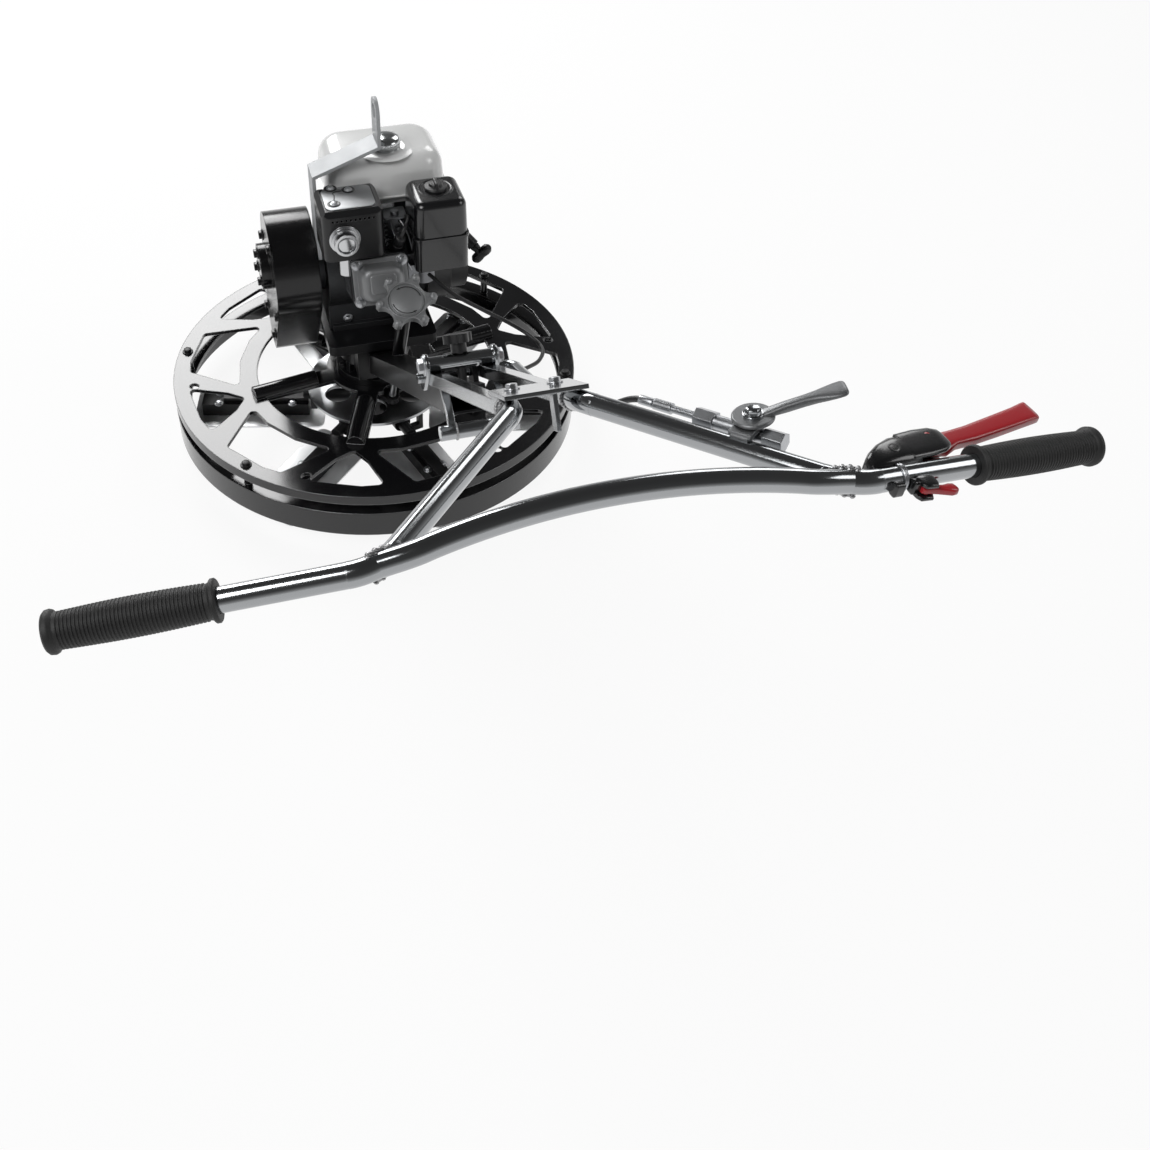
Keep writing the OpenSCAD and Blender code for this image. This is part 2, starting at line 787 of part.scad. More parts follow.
module cylinder_solid() {
    fin_top = head_hh + 2;
    fin_low = head_hh + 5;
    pitch = 9;
    in_cylinder() {
        translate([-fin_w / 2 + 6, 6 - fin_low, 40])
            cube([fin_w - 12, fin_top + fin_low - 12, head_reach - head_t - 39]);
        for (k = [0:fin_count - 1]) translate([-fin_w / 2, -fin_low, head_reach - head_t - 5 - k * pitch])
            linear_extrude(3) round_rect(fin_w, fin_top + fin_low, 8);
        translate([-fin_w / 2, -fin_low, head_reach - head_t]) linear_extrude(head_t)
            round_rect(fin_w, head_hh + fin_low, 8);
    }
}

module cylinder_block() {
    color("#4b4d50") difference() {
        cylinder_solid();
        along_x(-far / 2, far) translate(drum_c) circle(r = case_r);
    }
}

module valve_cover() {
    w = fin_w - 4;
    low = head_hh + 5;
    d = low + head_hh - 2;
    flange = 5;
    color("#8f9194") in_cylinder() translate([-w / 2, -low, head_reach]) {
        linear_extrude(flange) round_rect(w, d, 12);
        translate([7, 7, flange - 1]) soft_box(w - 14, d - 14, 25, 12, 6);
        for (x = [8, w - 8], y = [8, d - 8]) translate([x, y, flange - 1])
            cylinder(r = 4.5, h = 7, $fn = 6);
    }
}

module muffler() {
    top_z = muffler_z + muffler_h - shield_t;
    color("#c7cacc") {
        difference() {
            union() {
                translate([muffler_x + 5, muffler_y + 5, muffler_z + 4])
                    soft_box(muffler_w - 10, muffler_d - 10, muffler_h - 8, 12, 6);
                for (x = [0.3, 0.7])
                    translate([muffler_x + x * muffler_w, muffler_y + muffler_d / 2, top_z - 6])
                        cylinder(r = 6, h = 6);
            }
            translate([outlet_at.x, muffler_y - 1, outlet_at.z]) rotate([-90, 0, 0])
                cylinder(r = outlet_r - outlet_wall, h = 40);
        }
        difference() {
            translate(outlet_at) rotate([90, 0, 0]) {
                translate([0, 0, -6]) cylinder(r = outlet_collar_r, h = 9);
                cylinder(r = outlet_r + 2, h = 8);
                cylinder(r = outlet_r, h = 19);
            }
            translate(outlet_at + [0, 7, 0]) rotate([90, 0, 0]) cylinder(r = outlet_r - outlet_wall, h = 40);
        }
        difference() {
            translate([pipe_at.x, pipe_at.y, muffler_z - 40]) cylinder(r = pipe_r, h = 45);
            cylinder_solid();
        }
    }
}

module muffler_shield() {
    slots = 8;
    slot_step = 6.8;
    holes = 10;
    hole_step = 6.4;
    color("#2b2c2e") difference() {
        translate([muffler_x, muffler_y, muffler_z])
            bevel_box(muffler_w, muffler_d, muffler_h, shield_corner, 7);
        translate([muffler_x + shield_t, muffler_y + shield_t, muffler_z + shield_t])
            bevel_box(muffler_w - 2 * shield_t, muffler_d - 2 * shield_t, muffler_h - 2 * shield_t,
                shield_corner - shield_t, 6);
        translate(outlet_at + [0, 6, 0]) rotate([90, 0, 0]) cylinder(r = outlet_collar_r + gap, h = 30);
        translate([pipe_at.x, pipe_at.y, muffler_z - 2]) cylinder(r = pipe_r + gap, h = 6);
        for (k = [0:slots - 1]) translate([muffler_x - 1, muffler_y + 14 + k * slot_step, muffler_z + 20])
            cube([shield_t + 2, slot_step / 2, 36]);
        for (k = [0:holes - 1])
            translate([muffler_x + 15 + k * hole_step, muffler_y - 1, muffler_z + muffler_h - 13])
                rotate([-90, 0, 0]) cylinder(r = 1.8, h = shield_t + 2, $fn = 16);
    }
}

module air_cleaner_base() {
    brim = 1.5;
    brim_t = 4;
    color("#1d1e20") {
        translate([cleaner_x, cleaner_y, cleaner_z]) linear_extrude(cleaner_split - 2)
            round_rect(cleaner_w, cleaner_d, 10);
        translate([cleaner_x - brim, cleaner_y - brim, cleaner_z + cleaner_split - brim_t])
            linear_extrude(brim_t) round_rect(cleaner_w + 2 * brim, cleaner_d + 2 * brim, 11);
    }
}

module air_cleaner_cover() {
    color("#1a1b1d") translate([cleaner_x, cleaner_y, cleaner_z + cleaner_split])
        soft_box(cleaner_w, cleaner_d, cleaner_h - cleaner_split, 12, 9);
}

module air_cleaner_knob() {
    wing_l = 26;
    wing_t = 6;
    color("#101112") translate([cleaner_x + 40, cleaner_y + 46, cleaner_z + cleaner_h]) {
        cylinder(r = 17, h = 4);
        cylinder(r = 9, h = 9);
        translate([-wing_t / 2, -wing_l / 2, 3]) cube([wing_t, wing_l, 9]);
    }
}

module carburettor() {
    carb_at = [62, -108];
    bowl_r = 17;
    bowl_h = 24;
    throat_h = 12;
    intake_w = 30;
    color("#85878a") {
        translate([cylinder_x + fin_w / 2, carb_at.y - 14, cleaner_z - intake_w - 4])
            cube([22, intake_w, intake_w]);
        translate([carb_at.x, carb_at.y, cleaner_z - throat_h - bowl_h]) cylinder(r = bowl_r, h = bowl_h);
        translate([carb_at.x, carb_at.y, cleaner_z - throat_h]) cylinder(r = bowl_r - 4, h = throat_h);
    }
}

module fuel_tank() {
    skirt = 6;
    color("#d9dbdc") translate([tank_x - tank_w / 2, tank_y0, tank_z]) {
        translate([skirt, skirt, 0]) linear_extrude(2 * skirt)
            round_rect(tank_w - 2 * skirt, tank_d - 2 * skirt, tank_r - skirt);
        translate([0, 0, skirt]) soft_box(tank_w, tank_d, tank_h - skirt, tank_r, 24);
    }
}

module fuel_cap() {
    neck_h = 4;
    rim_h = 13;
    color("#b9bcbf") translate([tank_x + 5, tank_y0 + 42, tank_z + tank_h]) {
        cylinder(r = cap_r - 3, h = neck_h);
        translate([0, 0, neck_h]) cylinder(r = cap_r, h = rim_h);
        translate([0, 0, neck_h + rim_h]) cylinder(r = cap_r - 3, h = 3);
    }
}

module recoil_cover() {
    drum_l = 36;
    boss_l = 32;
    vents = 12;
    color("#26272a") difference() {
        union() {
            along_x(case_x1, drum_l) translate(drum_c) circle(r = recoil_r);
            along_x(case_x1 + drum_l, recoil_l - drum_l) translate(drum_c) circle(r = recoil_r - 12);
            along(pull_at - pull_dir * boss_l, pull_dir) cylinder(r = pull_boss_r, h = boss_l);
        }
        along(pull_at - pull_dir * (pull_neck_l + 1), pull_dir)
            cylinder(r = pull_neck_r + run, h = pull_neck_l + 2);
        for (k = [0:vents - 1]) translate([case_x1 + drum_l + 4, 0, crank_z]) rotate([k * 360 / vents, 0, 0])
            translate([0, 30, -3]) cube([far, 28, 6]);
    }
}

module starter_grip() {
    bar_l = 34;
    color("#17181a") along(pull_at, pull_dir) {
        translate([0, 0, -pull_neck_l]) cylinder(r = pull_neck_r, h = pull_neck_l + 2);
        translate([0, 0, gap]) cylinder(r = 7, h = 14);
        translate([-bar_l / 2, 0, 17]) rotate([0, 90, 0]) cylinder(r = 8, h = bar_l);
    }
}

module lifting_bracket() {
    slope = atan(lift_rise / lift_span);
    eye_x = lift_x + lift_span;
    top_z = lift_z + lift_rise;
    eye_z = top_z + lift_tab_h - lift_w / 2;
    turn = lift_t / cos(slope);
    color("#c4c6c8") difference() {
        union() {
            translate([0, lift_y + lift_w, 0]) rotate([90, 0, 0]) linear_extrude(lift_w) polygon([
                [lift_x, lift_foot_z], [lift_x + lift_t, lift_foot_z],
                [lift_x + lift_t, lift_z - turn + lift_t * tan(slope)],
                [eye_x + lift_t, top_z - turn + lift_t * tan(slope)], [eye_x + lift_t, eye_z],
                [eye_x, eye_z], [eye_x, top_z], [lift_x, lift_z]]);
            translate([eye_x, lift_y + lift_w / 2, eye_z]) rotate([0, 90, 0])
                cylinder(r = lift_w / 2, h = lift_t);
        }
        translate([eye_x - 1, lift_y + lift_w / 2, eye_z]) rotate([0, 90, 0])
            cylinder(r = lift_eye_r, h = lift_t + 2);
    }
}

// Pitch control
module in_pitch() {
    translate(knob_at) rotate([pitch_lean, 0, 0]) children();
}

module pitch_screw() {
    color("#c3c6c9") in_pitch() translate([0, 0, -screw_l]) {
        cylinder(r = screw_r, h = screw_l + screw_top);
        sphere(r = ball_r);
    }
}

module pitch_knob() {
    lobes = 6;
    tip_r = 5;
    dial_r = star_r * 0.6;
    color("#8b8d90") in_pitch() difference() {
        union() {
            difference() {
                linear_extrude(knob_t) difference() {
                    circle(r = star_r - 2);
                    for (k = [0:lobes - 1]) rotate((k + 0.5) * 360 / lobes)
                        translate([star_r + 1, 0]) circle(r = star_r * 0.37);
                }
                translate([0, 0, knob_t - 1.5]) difference() {
                    cylinder(r = dial_r, h = 4);
                    cylinder(r = dial_r - star_r * 0.04, h = 4);
                }
            }
            for (k = [0:lobes - 1]) rotate(k * 360 / lobes) translate([star_r - tip_r, 0, 0])
                cylinder(r = tip_r, h = knob_t + 3);
            translate([0, 0, gap - post_top]) cylinder(r = 10, h = post_top);
        }
        translate([0, 0, -post_top]) cylinder(r = screw_r + run, h = post_top + screw_top + gap);
    }
}

// Handle
module handle_boom() {
    end = fold_reach + boom_nose;
    hw = boom_w / 2;
    plate_z0 = ring_z + 34;
    color("#1a1b1d") {
        difference() {
            union() {
                difference() {
                    on_boom_frame() difference() {
                        translate([-hw, -end, boom_top - boom_h]) cube([boom_w, end + 60, boom_h]);
                        translate([-hw + boom_wall, -end - 1, boom_top - boom_h + boom_wall])
                            cube([boom_w - 2 * boom_wall, end + 70, boom_h - 2 * boom_wall]);
                    }
                    translate([-far / 2, pad_y - 8, -far]) cube([far, far, 3 * far]);
                }
                intersection() {
                    in_pitch() translate([0, 0, -screw_l]) cylinder(r = post_r, h = screw_l - post_top);
                    on_boom_frame() translate([-far / 2, -far, boom_top - 1]) cube([far, far, far]);
                }
            }
            in_pitch() translate([0, 0, -screw_l]) cylinder(r = screw_r + run, h = screw_l);
        }
        translate([pad_x, pad_y - pad_t, plate_z0]) cube([pad_w, pad_t, housing_top - 2 - plate_z0]);
        on_boom_frame() for (x = [-hw, hw - ear_t]) difference() {
            along_x(x, ear_t) {
                translate([-fold_reach, 0]) circle(r = ear_r);
                translate([-fold_reach - ear_r, boom_top - 1]) square([2 * ear_r, 1 - boom_top]);
            }
            along_x(x - 1, ear_t + 2) translate([-fold_reach, 0]) circle(r = fold_pin_r + pin_fit);
        }
    }
}

module handle_bracket() {
    color("#c8cbcd") on_boom_frame() {
        for (side = [-1, 1]) translate([side > 0 ? cheek_x : -cheek_x - cheek_t, 0, 0]) difference() {
            along_x(0, cheek_t) round_pair([-fold_reach, 0], 15, [-fold_reach - stem_s, stem_n], 13);
            along_x(-1, cheek_t + 2) translate([-fold_reach, 0]) circle(r = fold_pin_r + pin_fit);
        }
        difference() {
            translate([-cheek_x, -fold_reach - stem_s, stem_n]) rotate([0, 90, 0])
                cylinder(r = cross_r, h = 2 * cheek_x);
            for (side = [-1, 1]) translate([side * rail_x - rail_w / 2, -far * 4, -rail_w / 2])
                cube([rail_w, far * 4, rail_w]);
            translate([0, -fold_reach - stem_s, boom_top]) cylinder(r = stem_r + pin_fit, h = far);
        }
    }
}

module lock_pin() {
    y = -fold_reach;
    color("#d0d3d5") on_boom_frame()
        bent_bar([[-cheek_x - 9, y, 0], [cheek_x + 30, y, 0], [cheek_x + 34, y - 66, -16]], fold_pin_r, 14);
}

module clamp_knob() {
    top = stem_n + cross_r + gap;
    color("#141516") on_boom_frame() translate([0, -fold_reach - stem_s, 0]) {
        translate([0, 0, boom_top + gap]) cylinder(r = stem_r, h = top - boom_top);
        translate([0, 0, top]) cylinder(r = 9, h = 11);
        translate([0, 0, top + 11]) {
            cylinder(r = 13, h = 10);
            for (k = [0:3]) rotate(k * 90 + 20) translate([12, 0, 0]) cylinder(r = 6, h = 10);
        }
    }
}

module handle_rails() {
    y1 = -rail_end;
    y0 = -fold_reach + 16;
    bail_y = -fold_reach - bail_s;
    plate_n = bar_r + bend_swell;
    color("#cdd0d2") on_boom_frame() {
        for (side = [-1, 1]) difference() {
            union() {
                translate([side * rail_x - rail_w / 2, y1, -rail_w / 2]) cube([rail_w, y0 - y1, rail_w]);
                translate([side * rail_x - bail_t / 2, 0, 0]) intersection() {
                    along_x(0, bail_t) translate([bail_y + bail_bow, bail_n]) difference() {
                        circle(r = bail_bow + bail_t / 2);
                        circle(r = bail_bow - bail_t / 2);
                    }
                    along_x(0, bail_t) translate([bail_y - bail_bow, bail_n])
                        square([bail_bow * 1.8, -bail_n]);
                }
            }
            translate([-far / 2, -fold_reach, 0]) rotate([0, 90, 0])
                cylinder(r = fold_pin_r + pin_fit, h = far);
        }
        translate([-bail_l / 2, bail_y, bail_n]) rotate([0, 90, 0]) cylinder(r = bail_r, h = bail_l);
        translate([-rail_x - 8, -fork_reach - 6, plate_n]) cube([2 * rail_x + 16, 64, 4]);
        for (side = [-1, 1]) translate([side * rail_x - rail_w / 2, 1 - rail_end, rail_w / 2 - 1])
            cube([rail_w, 26, plate_n - rail_w / 2 + 2]);
        translate([6, -fork_reach - 2, plate_n - 34]) cube([4, 14, 35]);
    }
}

function bar_path(inset) =
    [on_boom(rail_end + inset, 0, rail_x), fork, bend_pt, bar_end + grip_dir * inset];

module side_tube(path, core) {
    color("#cfd2d4") difference() {
        bent_bar(path, bar_r, bar_bend);
        bent_bar(core, bar_r - bar_wall, bar_bend);
    }
}

module side_tube_right() { side_tube(bar_path(0), bar_path(plug_l)); }
module side_tube_left() { side_tube(mirrored(bar_path(0)), mirrored(bar_path(plug_l))); }

module cross_bar() {
    half = bend_pt.x;
    sweep_r = (half * half + cross_sag * cross_sag) / (2 * cross_sag);
    sweep = asin(half / sweep_r);
    color("#cfd2d4") difference() {
        translate(bend_pt - [half, 0, 0]) rotate([cross_lean, 0, 0]) translate([0, cross_sag - sweep_r, 0])
            rotate([0, 0, 90 - sweep]) rotate_extrude(angle = 2 * sweep, $fn = 180)
                translate([sweep_r, 0]) difference() {
                    circle(r = bar_r);
                    circle(r = bar_r - bar_wall);
                }
        bent_bar(bar_path(0), bar_r, bar_bend);
        bent_bar(mirrored(bar_path(0)), bar_r, bar_bend);
    }
}

module grip_profile() {
    flange_in = 3;
    flange_out = 2.5;
    step = (grip_l - 18) / grip_ribs;
    difference() {
        union() {
            square([grip_r - 1, grip_l]);
            square([grip_r + flange_in, 5]);
            translate([0, grip_l - 6]) square([grip_r + flange_out, 6]);
            for (k = [0:grip_ribs - 1]) translate([0, 8 + k * step]) square([grip_r, step * 0.55]);
        }
        square([bar_r, grip_l - 4]);
    }
}

module grip(at, dir) {
    color("#1b1b1c") along(at, dir) rotate_extrude() grip_profile();
}

module grip_right() { grip(bend_pt + grip_dir * grip_s, grip_dir); }
module grip_left() { mirror([1, 0, 0]) grip(bend_pt + grip_dir * grip_s, grip_dir); }

// Throttle on the right leg; across the leg, local +Y is outward and -X is up
module on_leg() { along(fork, leg_dir) children(); }

module cable_adjuster() {
    rod_s = adjuster_s + 17;
    nut_s = rod_s + 24;
    barrel_s = nut_s + 18;
    end_s = barrel_s + 46;
    color("#b5b8bb") on_leg() translate([-barrel_up, barrel_y, 0]) {
        translate([0, 0, adjuster_s]) cylinder(r = 5, h = rod_s - adjuster_s);
        translate([0, 0, rod_s - 1]) cylinder(r = 3, h = nut_s - rod_s + 2);
        translate([0, 0, nut_s]) cylinder(r = 9, h = barrel_s - nut_s, $fn = 6);
        translate([0, 0, barrel_s - 1]) cylinder(r = barrel_r, h = end_s - barrel_s + 2);
        translate([0, 0, end_s]) cylinder(r = 8.5, h = 18, $fn = 6);
    }
}

module throttle_base() {
    half = 11;
    deck = 6;
    color("#bdbfc1") on_leg() difference() {
        union() {
            translate([0, 0, throttle_s - half]) cylinder(r = bar_r + 4, h = 2 * half);
            translate([-barrel_up - barrel_r - deck + 2, 0, throttle_s - half])
                cube([deck, throttle_y + 9, 2 * half]);
            translate([-barrel_up - 9, 4, throttle_s - half]) cube([16, barrel_y + 6, 2 * half]);
            translate([-throttle_up, throttle_y, throttle_s]) rotate([0, 90, 0]) cylinder(r = 9, h = 6);
        }
        translate([0, 0, throttle_s - 20]) cylinder(r = bar_r, h = 40);
        translate([-barrel_up, barrel_y, 0]) cylinder(r = barrel_r, h = far);
        translate([-throttle_up - 1, throttle_y, throttle_s]) rotate([0, 90, 0])
            cylinder(r = throttle_pin_r + pin_fit, h = throttle_pin_l + 1.5);
    }
}

module throttle_lever() {
    lift = 12;
    arm_l = throttle_l - 20;
    bar_w = 10;
    pad_l = 26;
    color("#a9abad") on_leg() translate([-throttle_up - gap, throttle_y, throttle_s]) rotate([0, -90, 0]) {
        cylinder(r = throttle_r, h = 4);
        translate([0, 0, -throttle_pin_l]) cylinder(r = throttle_pin_r, h = throttle_pin_l + 1);
        translate([0, 0, 3]) cylinder(r = 6, h = 6, $fn = 6);
        rotate(42) {
            translate([8 * cos(lift), -bar_w / 2, 1 + 8 * sin(lift)]) rotate([0, -lift, 0])
                cube([arm_l - 6, bar_w, 4]);
            translate([arm_l * cos(lift), -pad_l / 2, 1 + arm_l * sin(lift)]) linear_extrude(5)
                round_rect(20, pad_l, 7);
        }
    }
}

// Stop lever on the right grip section; local +Y is forward and -X is up
module on_grip() { along(bend_pt, grip_dir) children(); }

module stop_housing() {
    cheek_w = 24;
    slot_w = 12;
    lump_w = 16;
    lump_l = 38;
    color("#17181a") on_grip() difference() {
        union() {
            translate([0, 0, housing_s]) cylinder(r = bar_r + 5, h = housing_l);
            translate([-cheek_w / 2 - 1, 0, 0]) rotate([90, 0, 90]) linear_extrude(cheek_w)
                round_pair([bar_r + 8, housing_s + 16], 16, [stop_pivot_y - 4, stop_pivot_s - 2], 14);
            translate([-lump_w / 2, trigger_y - 6, housing_s]) cube([lump_w, bar_r + 8, lump_l]);
        }
        translate([0, 0, -far / 2]) cylinder(r = bar_r, h = far);
        translate([-slot_w / 2 - 1, stop_pivot_y - 12, stop_pivot_s - 18]) cube([slot_w, far, far]);
        translate([-cheek_w, stop_pivot_y, stop_pivot_s]) rotate([0, 90, 0])
            cylinder(r = stop_pin_r + pin_fit, h = 2 * cheek_w);
        translate([-4, trigger_y - 20, trigger_s - 8]) cube([8, 30, far]);
        translate([-cheek_w, trigger_y, trigger_s]) rotate([0, 90, 0])
            cylinder(r = trigger_pin_r + pin_fit, h = 2 * cheek_w);
    }
}

module stop_lever() {
    lever_w = 10;
    knee = [3, 34];
    tip = [20, stop_l];
    color("#b5121f") on_grip() translate([-lever_w / 2 - 1, stop_pivot_y, stop_pivot_s]) rotate([90, 0, 90]) {
        linear_extrude(lever_w) {
            circle(r = 8);
            translate(knee) circle(r = 7);
            translate(tip) circle(r = 6);
            tangent_strip([0, 0], 7.5, knee, 6.5);
            tangent_strip(knee, 6.5, tip, 5.5);
        }
        translate([0, 0, -6]) cylinder(r = stop_pin_r, h = lever_w + 12);
    }
}

module stop_trigger() {
    trigger_w = 7;
    color("#c2202c") on_grip() translate([-trigger_w / 2, trigger_y, trigger_s]) rotate([90, 0, 90]) {
        linear_extrude(trigger_w) round_pair([0, 0], 4, [-4, 20], 5);
        translate([0, 0, -4]) cylinder(r = trigger_pin_r, h = trigger_w + 8);
    }
}

// Throttle cable, held from the carburettor to the adjuster
cable_route = [[66, -122, 341], [100, -146, 314], [140, -158, 288], [180, -170, 264], [206, -190, 250],
    [216, -215, 245], [206, -242, 247], [182, -268, 256], [150, -298, 276], [124, -330, 302], [100, -380, 340],
    [84, -440, 384], [74, -505, 432], [66, -570, 480], [56, -618, 513], [50, -680, 553], [50, -760, 606],
    [52, -840, 661], [62, -905, 706]];
cable_end = fork + leg_dir * (adjuster_s - 4 * gap)
    + barrel_y * side_y(leg_dir) - barrel_up * side_x(leg_dir);
cable_points = concat(cable_route, [cable_end - leg_dir * 14, cable_end]);

function smooth(p, i, t) = let (a = p[max(i - 1, 0)], b = p[i], c = p[i + 1], d = p[min(i + 2, len(p) - 1)])
    0.5 * (2 * b + (c - a) * t + (2 * a - 5 * b + 4 * c - d) * t * t + (3 * b - a - 3 * c + d) * t * t * t);

module swept(points, r, sides) {
    last = len(points) - 1;
    fine = concat([for (i = [0:last - 1], t = [0:0.25:0.99]) smooth(points, i, t)], [points[last]]);
    n = len(fine);
    heads = [for (i = [0:n - 1]) unit(fine[min(i + 1, n - 1)] - fine[max(i - 1, 0)])];
    rings = [for (i = [0:n - 1]) let (u = unit(cross(heads[i], [0.3, 0.2, 1])), v = cross(heads[i], u))
        for (k = [0:sides - 1]) fine[i] + r * (cos(k * 360 / sides) * u + sin(k * 360 / sides) * v)];
    faces = concat(
        [for (i = [0:n - 2], k = [0:sides - 1]) let (m = (k + 1) % sides)
            [i * sides + k, (i + 1) * sides + k, i * sides + m]],
        [for (i = [0:n - 2], k = [0:sides - 1]) let (m = (k + 1) % sides)
            [i * sides + m, (i + 1) * sides + k, (i + 1) * sides + m]],
        [for (k = [1:sides - 2]) [0, k, k + 1]],
        [for (k = [1:sides - 2]) [(n - 1) * sides, (n - 1) * sides + k + 1, (n - 1) * sides + k]]);
    polyhedron(rings, faces);
}

module throttle_cable() {
    color("#111112") swept(cable_points, cable_d / 2, 8);
}

guard_ring();
rim_ring();
for (k = [1:blade_count]) {
    blade_arm(k - 1);
    blade(k - 1);
}
spider_hub();
thrust_plate();
thrust_collar();
pitch_yoke();
output_shaft();
gearbox_housing();
worm_shaft();
worm_wheel();
driven_pulley();
clutch_drum();
drive_belt();
belt_guard();
engine_plate();
crankcase();
cylinder_block();
valve_cover();
muffler();
muffler_shield();
air_cleaner_base();
air_cleaner_cover();
air_cleaner_knob();
carburettor();
fuel_tank();
fuel_cap();
recoil_cover();
starter_grip();
lifting_bracket();
pitch_screw();
pitch_knob();
handle_boom();
handle_bracket();
lock_pin();
clamp_knob();
handle_rails();
side_tube_right();
side_tube_left();
cross_bar();
grip_right();
grip_left();
cable_adjuster();
throttle_base();
throttle_lever();
stop_housing();
stop_lever();
stop_trigger();
throttle_cable();
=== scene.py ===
"""Looks of a walk-behind power trowel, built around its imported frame. Sizes are in metres."""

from __future__ import annotations

import json
import logging
import math
from dataclasses import dataclass
from enum import Enum
from typing import Any, Iterable, Sequence, Union

import bmesh
import bpy
from mathutils import Matrix, Vector

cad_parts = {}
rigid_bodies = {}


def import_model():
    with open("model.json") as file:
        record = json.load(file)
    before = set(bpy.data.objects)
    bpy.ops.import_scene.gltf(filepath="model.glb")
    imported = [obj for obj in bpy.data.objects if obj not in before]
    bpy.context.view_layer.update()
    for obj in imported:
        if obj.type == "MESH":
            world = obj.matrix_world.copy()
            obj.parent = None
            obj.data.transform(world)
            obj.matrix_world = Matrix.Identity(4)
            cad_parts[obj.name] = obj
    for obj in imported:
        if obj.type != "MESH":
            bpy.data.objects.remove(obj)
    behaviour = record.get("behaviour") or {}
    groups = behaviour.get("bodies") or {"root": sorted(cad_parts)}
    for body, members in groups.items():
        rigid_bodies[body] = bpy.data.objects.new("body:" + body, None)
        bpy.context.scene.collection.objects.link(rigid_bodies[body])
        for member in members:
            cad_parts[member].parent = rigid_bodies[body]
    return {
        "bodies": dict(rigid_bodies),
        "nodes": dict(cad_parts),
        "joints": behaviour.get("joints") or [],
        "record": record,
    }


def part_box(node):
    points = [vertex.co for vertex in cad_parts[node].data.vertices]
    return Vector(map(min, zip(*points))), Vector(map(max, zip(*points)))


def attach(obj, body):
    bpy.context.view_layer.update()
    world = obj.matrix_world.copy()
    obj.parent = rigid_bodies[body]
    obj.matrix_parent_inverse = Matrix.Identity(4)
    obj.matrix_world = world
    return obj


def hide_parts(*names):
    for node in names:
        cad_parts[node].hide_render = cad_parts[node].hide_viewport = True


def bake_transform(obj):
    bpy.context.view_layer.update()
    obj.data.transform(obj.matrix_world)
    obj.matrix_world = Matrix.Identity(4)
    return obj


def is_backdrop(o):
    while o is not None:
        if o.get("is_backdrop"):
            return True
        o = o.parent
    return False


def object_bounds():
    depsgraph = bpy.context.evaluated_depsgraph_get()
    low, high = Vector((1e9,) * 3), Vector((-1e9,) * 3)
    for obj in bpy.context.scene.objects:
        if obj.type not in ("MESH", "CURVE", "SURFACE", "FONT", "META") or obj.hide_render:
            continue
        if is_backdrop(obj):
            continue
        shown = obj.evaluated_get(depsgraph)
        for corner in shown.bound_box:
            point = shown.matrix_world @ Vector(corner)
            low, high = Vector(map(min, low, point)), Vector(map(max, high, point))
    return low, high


LOG = logging.getLogger("power_trowel")
UP = (0.0, 0.0, 1.0)
FRONT = (0.0, -1.0, 0.0)
LEFT = (-1.0, 0.0, 0.0)
MERGE = 1e-6

Point = Sequence[float]
Colour = tuple[float, float, float]
# Radius and height of each point of a turned outline, from the bottom to the top
Profile = Sequence[tuple[float, float]]
# A moulding's section: height, middle in x and y, half width in x and y
Row = tuple[float, float, float, float, float]


class Slot(Enum):
    """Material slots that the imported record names."""

    RING = "ring_black"
    ARM = "arm_black"
    BLADE = "blade_steel"
    MACHINED = "machined_steel"
    BRONZE = "bronze"
    GEARBOX = "gearbox_black"
    GUARD = "guard_black"
    BELT = "belt_rubber"
    ENGINE = "engine_alloy"
    COVER = "cover_alloy"
    KNOB = "knob_grey"
    EXHAUST = "exhaust_chrome"
    SHIELD = "shield_black"
    PLASTIC = "black_plastic"
    TANK = "tank_white"
    CAP = "cap_chrome"
    ZINC = "zinc_plate"
    CHROME = "handle_chrome"
    GRIP = "grip_rubber"
    RED = "red_plastic"
    CABLE = "cable_black"


@dataclass(frozen=True)
class Span:
    """The stretch over which a piece passes from one body to the next."""

    first: str
    second: str
    start: Point
    end: Point


@dataclass(frozen=True)
class Room:
    """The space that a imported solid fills."""

    low: Vector
    high: Vector

    @classmethod
    def of(cls, node: str) -> Room:
        """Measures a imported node."""
        low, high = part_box(node)
        return cls(Vector(low), Vector(high))

    @property
    def size(self) -> Vector:
        """Its width, depth and height."""
        return self.high - self.low

    @property
    def middle(self) -> Vector:
        """Its middle."""
        return (self.low + self.high) / 2

    @property
    def foot(self) -> Vector:
        """The middle of its underside."""
        return Vector((self.middle.x, self.middle.y, self.low.z))

    @property
    def crown(self) -> Vector:
        """The middle of its top."""
        return Vector((self.middle.x, self.middle.y, self.high.z))


